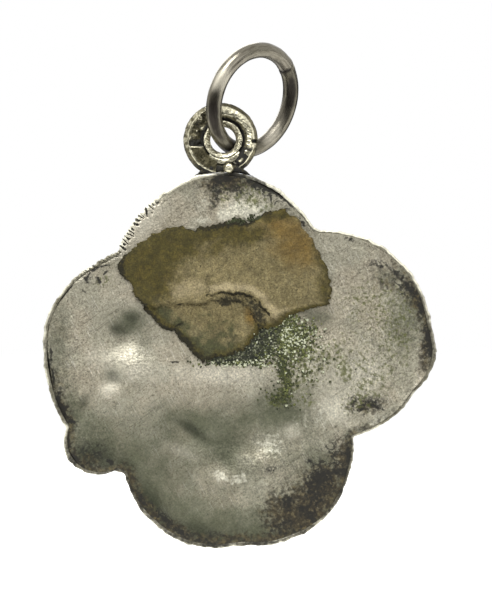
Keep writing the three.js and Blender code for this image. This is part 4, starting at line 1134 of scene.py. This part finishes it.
def fromMiddle(shape, reach, bearing):
    # places about a piece's own middle
    x, y = flat(reach, bearing)
    return shape["middle"][0] + x, shape["middle"][1] + y


def tornBearings(shape):
    # even steps all round, half a step in from the start
    return (np.arange(shape["bearings"]) + 0.5) * turn / shape["bearings"] - math.pi


def creases(shape, x, y):
    # distances from the four creases. Soft noise bends the lines, because paper cracks unevenly
    u = x + 0.09 * roughness(x, y, 0.4, 115)
    v = y + 0.09 * roughness(x, y, 0.36, 119)
    return [fromLine(u, v, shape[name]) for name in ("crease", "upperCrease", "lowerCrease", "thinCrease")]


def makeScrap():
    # Rings of points shrink from the torn edge to the middle, on the top and on the underside.
    # The top thins towards the edge. Above the main crease it bulges to a soft fold, and
    # it drops sharply at the crease
    shape = scrapShape
    bearing = tornBearings(shape)
    reach = tornReach(shape, bearing, shape["tear"], 101)
    share = np.linspace(0, 1, shape["rings"])[:, None] ** 0.9
    x, y = fromMiddle(shape, share * reach, bearing)
    fromEdge = reach * (1 - share)
    crease, upper, lower, thin = creases(shape, x, y)
    onRight = ramp(-1.9, -1.2, x)
    leftHeight, rightHeight, upperHeight = shape["foldHeights"]
    broad, slim = shape["foldWidths"]
    fold = ramp(-0.04, 0.1, crease) * hump(np.maximum(crease, 0), broad)
    fold = fold * (leftHeight - (leftHeight - rightHeight) * onRight)
    fold = fold + upperHeight * onRight * ramp(-0.03, 0.1, upper) * hump(np.maximum(upper, 0), slim)
    fold = fold + 0.05 * hump(crease - 0.62, 0.3) * (1 - onRight)
    cuts = 0.06 * hump(crease + 0.03, 0.1) + 0.06 * hump(upper + 0.03, 0.08)
    cuts = cuts * ramp(-0.8, 0.2, roughness(x, y, 0.24, 107))
    cuts = cuts + 0.05 * hump(lower, 0.08) + 0.025 * hump(thin, 0.05)
    puckers = 0.016 * roughness(x, y, 0.9, 105) + 0.01 * roughness(x, y, 0.2, 109, 2)
    puckers = puckers + 0.05 * spots(x, y, shape["crushed"]) * roughness(x, y, 0.26, 113)
    body = shape["thickness"] * (0.35 + 0.65 * (1 - np.exp(-fromEdge / 0.12))) + fold - cuts + puckers
    curl = 0.03 * hump(fromEdge, 0.3) * softNoise(x, y, 1.4, 111)
    top = plateHeight(x, y) + shape["lift"] + np.maximum(body + curl, 0.02)
    under = np.linspace(1, 0, 10)[:, None]
    underX, underY = fromMiddle(shape, under * reach, bearing)
    bottom = plateHeight(underX, underY) + 0.5 * shape["lift"]
    x, y = np.concatenate([x, underX]), np.concatenate([y, underY])
    grid = setAbout(centre, x, y, np.concatenate([top, bottom]))
    # from here on the numbers that colour the paper, on the top and the underside
    shade = fromLine(x, y, shape["shadeLine"]) + 0.35 * roughness(x, y, 0.9, 123)
    edgeDistance = np.concatenate([fromEdge, reach * (1 - under)])
    edgeSide = 0.6 + 0.4 * ramp(-0.6, 0.4, roughness(x, y, 1.2, 127) + 0.4 * (y < 2.2))
    dirtyEdge = edgeSide * (1 - 0.85 * spots(x, y, shape["cleanEdge"]))
    dark = np.max([0.9 * ramp(-1.0, 1.0, shade), 1.05 * dirtyEdge * hump(edgeDistance, 0.42),
                   spots(x, y, shape["dark"])], 0)
    near, nearUpper, nearLower, nearThin = creases(shape, x, y)
    wide = 0.05 + 0.09 * ramp(-2.4, -1.6, x) * ramp(1.3, 0.2, x)
    # line: dark cracks along the creases, partly painted shade in them
    line = np.max([0.85 * hump(near + 0.02, wide) * ramp(-4.2, -3.5, x), 0.9 * hump(nearUpper, 0.09),
                   0.85 * hump(nearLower, 0.09), 0.65 * hump(nearThin, 0.05),
                   0.6 * hump(fromLine(x, y, shape["flakeLine"]), 0.06)], 0)
    line = line * (0.45 + 0.55 * ramp(-0.5, 0.3, roughness(x, y, 0.35, 129)))
    # underFold paints the shade under the folds; blackEdge is dirt along the torn edge
    underFold, blackEdge = spots(x, y, shape["underFold"]), spots(x, y, shape["blackEdge"])
    black = (0.45 + 0.6 * blackEdge) * dirtyEdge * hump(edgeDistance, 0.12 + 0.45 * blackEdge)
    left, right = ramp(-3.9, -3.3, x) * (1 - ramp(-2.0, -1.4, x)), ramp(-1.9, -1.3, x)
    # ridge: painted highlight on the tops of the folds above the creases, the side facing the light
    ridge = np.max([0.7 * left * hump(near - 0.75, 0.6), right * hump(nearUpper - 0.33, 0.25),
                    spots(x, y, shape["ridges"])], 0)
    return makePiece("backingScrap", grid, {
        "dark": dark, "grey": spots(x, y, shape["grey"]), "warm": spots(x, y, shape["warm"]),
        "burnt": np.max([line, underFold, black], 0), "ridge": 0.8 * ridge * (1 - 0.8 * underFold)})


# Old rag paper, soaked with glue and dirt: brown and olive, matt, with fibres and dark pin specks,
# painted shade under its folds and in its creases, and painted highlights on the fold ridges
oldPaper = layeredMaterial("OldBackingPaper", {
    "colour": "#867a55", "metallic": 0.0, "roughness": 0.85,
    "cloudColour": "#776c49", "cloudSize": 1.3, "cloudRoughness": 0.9,
    "mottle": [(0.9, 0.42, 0.68, 0.35, "#6a6040"), (0.14, 0.5, 0.68, 0.4, "#a0966e"),
               (0.1, 0.5, 0.64, 0.5, "#554c2e"), (0.08, 0.6, 0.68, 0.85, "#2e2713")],
    "layers": [
        ("grey", "#3d4024", 0.0, 0.85, 0.4, 1.9, 0.35, 0.9),
        ("warm", "#6d5622", 0.0, 0.85, 0.5, 0.7, 0.45, 0.85),
        # ridge: painted highlight on the folds
        ("ridge", "#ab9d7a", 0.0, 0.8, 0.3, 0.7, 0.4, 0.8),
        ("dark", "#483f12", 0.0, 0.9, 0.5, 1.1, 0.45, 0.95),
        ("dark", "#655a28", 0.0, 0.9, 0.45, 3.6, 0.5, 0.45, 0.2),
        ("dark", "#2a2a12", 0.0, 0.9, 0.22, 4.0, 0.5, 0.45, 0.2),
        # burnt: cracks and dirty edges, with painted shade in the creases and under the folds
        ("burnt", "#1f1d10", 0.0, 0.95, 0.13, 1.5, 0.25, 0.92),
    ],
    "grit": [(0.08, 0.62, 1.38), (0.17, 0.8, 1.2), (0.5, 0.82, 1.18)],
    "bumps": [(0.3, 0.06, False), (0.1, 0.04, False)],
})
dress(makeScrap(), oldPaper, "backing_paper", "charm", "backing_scrap")

# Old glue: a dark crumbling crust that shows past the scrap's lower right edge
glueShape = {
    "middle": (0.9, 0.9),
    "corners": [
        (-1.78, -0.41), (-0.92, -0.62), (0.31, -0.6), (1.15, -0.42), (1.6, -0.1), (2.0, 0.2),
        (2.1, 0.75), (2.3, 1.25), (2.6, 1.7), (2.54, 2.24), (0.51, 1.73), (-0.61, 0.61)],
    "tear": 0.16,
    "lumps": 0.09,
    "bearings": 420,
    "rings": 44,
}


def makeGlue():
    # rings of points as in the scrap, with lumps that die away at a ragged edge
    shape = glueShape
    bearing = tornBearings(shape)
    reach = tornReach(shape, bearing, shape["tear"], 121)
    share = np.linspace(0, 1, shape["rings"])[:, None]
    x, y = fromMiddle(shape, share * reach, bearing)
    lumps = shape["lumps"] * np.abs(roughness(x, y, 0.2, 125, 4)) + 0.02
    top = plateHeight(x, y) + 0.01 + lumps * (1 - np.exp(-reach * (1 - share) / 0.06)) + 0.008
    underX, underY = fromMiddle(shape, np.linspace(1, 0, 8)[:, None] * reach, bearing)
    bottom = plateHeight(underX, underY) + 0.004
    x, y = np.concatenate([x, underX]), np.concatenate([y, underY])
    return makePiece("oldGlue", setAbout(centre, x, y, np.concatenate([top, bottom])), {
        "verdigris": 0.1 + 0.6 * ramp(1.3, 2.5, x)})


# Crumbs of glue and verdigris beside the scrap
crumbShape = {
    "places": [  # x, y, spread x, spread y, count, tone from dark 0 to white 1, its spread
        (2.55, 0.45, 0.6, 0.48, 900, 0.54, 0.25), (2.15, -0.8, 0.12, 0.4, 130, 0.3, 0.15),
        (2.4, -1.6, 0.14, 0.4, 130, 0.35, 0.15), (2.5, 1.2, 0.3, 0.35, 320, 0.42, 0.2),
        (3.3, 1.1, 0.5, 0.3, 150, 0.42, 0.25), (2.0, -2.4, 0.3, 0.25, 90, 0.3, 0.15),
        (0.2, -0.62, 0.9, 0.1, 260, 0.7, 0.33), (0.0, -0.6, 1.0, 0.08, 200, 0.03, 0.05),
        (1.3, -0.2, 0.5, 0.2, 220, 0.28, 0.34), (1.5, 0.3, 0.5, 0.25, 160, 0.12, 0.18),
        (3.4, -0.4, 0.9, 0.7, 150, 0.4, 0.3), (2.6, -1.6, 0.7, 0.6, 60, 0.3, 0.2),
        (-0.15, 6.62, 0.22, 0.07, 90, 0.02, 0.08), (0.8, 6.72, 0.3, 0.1, 70, 0.02, 0.08)],
    "sizes": (0.13, 0.26),  # square roots of the smallest and largest radius, so most are small
    "uneven": 0.3,
    "sides": 8,
}


def makeCrumbs():
    # Small flattened balls with uneven radii, scattered about a few places with a normal spread.
    # Each sits on the plate
    shape = crumbShape
    draw = np.random.default_rng(131)
    spread = np.concatenate([np.stack([
        draw.normal(x, sx, n), draw.normal(y, sy, n), np.clip(draw.normal(tone, wide, n), 0, 1)], -1)
        for x, y, sx, sy, n, tone, wide in shape["places"]])
    count, sides = len(spread), shape["sides"]
    size = draw.uniform(*shape["sizes"], count)[:, None, None] ** 2
    around = np.arange(sides)[None, None] * turn / sides
    up = (np.linspace(-90, 90, 6) * degree)[None, :, None]
    uneven = 1 + shape["uneven"] * draw.uniform(-1, 1, (count, 6, sides)) * np.cos(up)
    x = spread[:, 0, None, None] + size * np.cos(up) * np.cos(around) * uneven
    y = spread[:, 1, None, None] + size * np.cos(up) * np.sin(around) * uneven
    ground = plateHeight(spread[:, 0], spread[:, 1])[:, None, None]
    covered = fromScrap(spread[:, 0], spread[:, 1])[:, None, None]
    z = ground + 0.02 + 0.09 * covered + size * (0.35 + 0.6 * np.sin(up)) + 0 * around
    points = np.stack([x, y, z], -1) + centre
    inner = points[:, 1:-1].reshape(count, -1, 3)
    poles = points[:, [0, -1]].mean(2)
    whole = np.concatenate([poles, inner], 1)
    j = np.arange(sides)
    k = (j + 1) % sides
    i = np.arange(3)[:, None] * sides + 2
    quads = np.stack([i + j, i + k, i + sides + k, i + sides + j], -1).reshape(-1, 4)
    lows = np.stack([0 * j, k + 2, j + 2], -1)
    tops = np.stack([3 * sides + 2 + j, 3 * sides + 2 + k, 0 * j + 1], -1)
    shift = np.arange(count)[:, None, None] * whole.shape[1]
    faces = ((quads + shift).reshape(-1, 4).tolist() + (lows + shift).reshape(-1, 3).tolist()
             + (tops + shift).reshape(-1, 3).tolist())
    mesh = bpy.data.meshes.new("glueCrumbs")
    mesh.from_pydata(toFrame(whole.reshape(-1, 3)).tolist(), [], faces)
    tone = np.repeat(spread[:, 2], whole.shape[1]).astype(np.float32)
    for name, value in (("tone", tone), ("white", np.clip(tone * 1.6 - 0.55, 0, 1))):
        mesh.attributes.new(name, "FLOAT", "POINT").data.foreach_set("value", value)
    return addObject("glueCrumbs", mesh)


def fromScrap(x, y):
    # 1 under the scrap, 0 outside it
    dx, dy = x - scrapShape["middle"][0], y - scrapShape["middle"][1]
    reach = tornReach(scrapShape, np.arctan2(dy, dx), scrapShape["tear"], 101)
    return (np.hypot(dx, dy) < reach + 0.03) * 1.0


# Animal glue gone hard and black green, crumbling at its edge
oldGlue = layeredMaterial("OldGlueCrust", {
    "colour": "#2a2c1a", "metallic": 0.0, "roughness": 0.7,
    "cloudColour": "#1c2016", "cloudSize": 0.5, "cloudRoughness": 0.85,
    "mottle": [(0.2, 0.5, 0.62, 0.8, "#4d5234"), (0.1, 0.55, 0.63, 0.8, "#9a9c80")],
    "layers": [("verdigris", "#5c6139", 0.0, 0.85, 0.14, 1.6, 0.2, 0.8)],
    "grit": [(0.1, 0.6, 1.4)],
    "bumps": [(0.15, 0.04, False), (0.06, 0.015, False)],
})
# The crumbs run from black green through olive verdigris to chalky white
crumbMatter = layeredMaterial("VerdigrisCrumbs", {
    "colour": "#33371f", "metallic": 0.0, "roughness": 0.8,
    "cloudColour": "#42482c", "cloudSize": 0.3, "cloudRoughness": 0.9,
    "mottle": [(0.1, 0.55, 0.65, 0.5, "#22241a")],
    "layers": [
        ("tone", "#80864a", 0.0, 0.8, 0.2, 0.15, 0.25, 1.0),
        ("white", "#cfd2b6", 0.0, 0.75, 0.2, 0.15, 0.12, 1.0),
    ],
    "grit": [(0.1, 0.75, 1.25)],
    "bumps": [(0.08, 0.01, False), (0.05, 0.006, False)],
})
dress(makeGlue(), oldGlue, "glue", "charm", "old_glue")
dress(makeCrumbs(), crumbMatter, "glue", "charm")

# Camera: level with the charm and square to its back, as the photograph was taken
view = {"lens": 300, "sensor": 36, "aim": (0.331, -10.21), "longSide": 30.54}
camera = addObject("camera", bpy.data.cameras.new("camera"))
camera.data.lens = view["lens"]
camera.data.sensor_width = view["sensor"]
away = view["lens"] * view["longSide"] / view["sensor"]
camera.location = (view["aim"][0] * mm, (away + plateBack + centre[2]) * mm, view["aim"][1] * mm)
camera.rotation_euler = (math.pi / 2, 0, math.pi)
camera.data.clip_start = 0.005
camera.data.clip_end = 20
bpy.context.scene.camera = camera

# Studio: a pale floor, a soft light above and to the left, and weaker ones in front and behind
studio = {
    "floor": -30, "floorReach": 1600,
    "screen": [(38, 1.5), (430, 2), (520, 30), (540, 130)],  # towards the camera, above the floor
    "screenHalfWidth": 420,
    "world": 0.3,
    "lamps": [  # name, place in metres, size in metres, watts
        ("topLight", (0.07, 0.2, 0.28), 0.22, 1.05),
        ("fillLight", (-0.3, 0.34, 0.02), 0.3, 0.2),
        ("frontLight", (0.12, -0.3, 0.2), 0.3, 0.8)],
}


def makeFloor():
    # a flat disc: rings of points about the middle, and the same again as its thin underside
    bearing = np.arange(64) * turn / 64
    reach = np.array([0, 0.3, 1, 1, 0])[:, None] * studio["floorReach"]
    height = np.array([0, 0, 0, -2, -2])[:, None] + studio["floor"] + 0 * bearing
    grid = np.stack([reach * np.cos(bearing), height, reach * np.sin(bearing)], -1)
    return makePiece("floor", grid)


def makeScreen(name, side):
    # a bent strip: its section runs along the floor and up behind the camera, and is drawn
    # out sideways
    line = np.array(studio["screen"])
    section = np.concatenate([line, line[::-1] + (2, -1)])
    across = np.array([-1, -1, 1, 1])[:, None] * studio["screenHalfWidth"] + 0 * section[:, 0]
    return makePiece(name, np.stack([
        across, studio["floor"] + section[:, 1] + 0 * across, side * section[:, 0] + 0 * across], -1))


def shownLight(tree):
    # 1 for what the camera sees, straight, in metal or through glass
    rays = addNode(tree, "ShaderNodeLightPath").outputs
    first = addNode(tree, "ShaderNodeMath", {"operation": "MAXIMUM"},
                    {0: rays["Is Camera Ray"], 1: rays["Is Glossy Ray"]}).outputs[0]
    return addNode(tree, "ShaderNodeMath", {"operation": "MAXIMUM"},
                   {0: first, 1: rays["Is Transmission Ray"]}).outputs[0]


paper = bpy.data.materials.new("PalePaperFloor")
tree = emptyTree(paper)
matt = addNode(tree, "ShaderNodeBsdfDiffuse", None, {"Color": fromHex("#e8e8e6")}).outputs[0]
glow = addNode(tree, "ShaderNodeEmission", None, {"Color": (1, 1, 1, 1), "Strength": 0.8}).outputs[0]
none = addNode(tree, "ShaderNodeEmission", None, {"Color": (0, 0, 0, 1), "Strength": 0.0}).outputs[0]
shown = addNode(tree, "ShaderNodeMixShader", None, {0: shownLight(tree), 1: none, 2: glow}).outputs[0]
both = addNode(tree, "ShaderNodeAddShader", None, {0: matt, 1: shown}).outputs[0]
addNode(tree, "ShaderNodeOutputMaterial", None, {"Surface": both})
floor = makeFloor()
floor.data.materials.append(paper)

# Two dark cards, as a photographer sets them for silver: only the sheen of the metal shows them
for name, side, code in (("backScreen", 1, "#262626"), ("frontScreen", -1, "#6a6a6a")):
    felt = bpy.data.materials.new(name + "Felt")
    felt.use_nodes = True
    felt.node_tree.nodes["Principled BSDF"].inputs["Base Color"].default_value = fromHex(code)
    felt.node_tree.nodes["Principled BSDF"].inputs["Roughness"].default_value = 0.9
    screen = makeScreen(name, side)
    screen.data.materials.append(felt)
    screen.visible_camera = screen.visible_diffuse = screen.visible_shadow = False

world = bpy.data.worlds.new("studio")
bpy.context.scene.world = world
tree = emptyTree(world)
dim, bright = (addNode(tree, "ShaderNodeBackground", None, {
    "Color": (1, 1, 1, 1), "Strength": strength}).outputs[0] for strength in (studio["world"], 1.0))
sky = addNode(tree, "ShaderNodeMixShader", None, {0: shownLight(tree), 1: dim, 2: bright}).outputs[0]
addNode(tree, "ShaderNodeOutputWorld", None, {"Surface": sky})

for name, place, size, watts in studio["lamps"]:
    lamp = addObject(name, bpy.data.lights.new(name, "AREA"))
    lamp.data.shape = "SQUARE"
    lamp.data.size = size
    lamp.data.energy = watts
    lamp.location = place
    towards = np.array([0, 0, -0.012]) - place
    level = math.hypot(towards[0], towards[1])
    heading = math.atan2(towards[1], towards[0]) - math.pi / 2
    lamp.rotation_euler = (math.atan2(level, -towards[2]), 0, heading)
    lamp.visible_camera = False
print("studio made")

bpy.context.scene.view_settings.view_transform = "Standard"
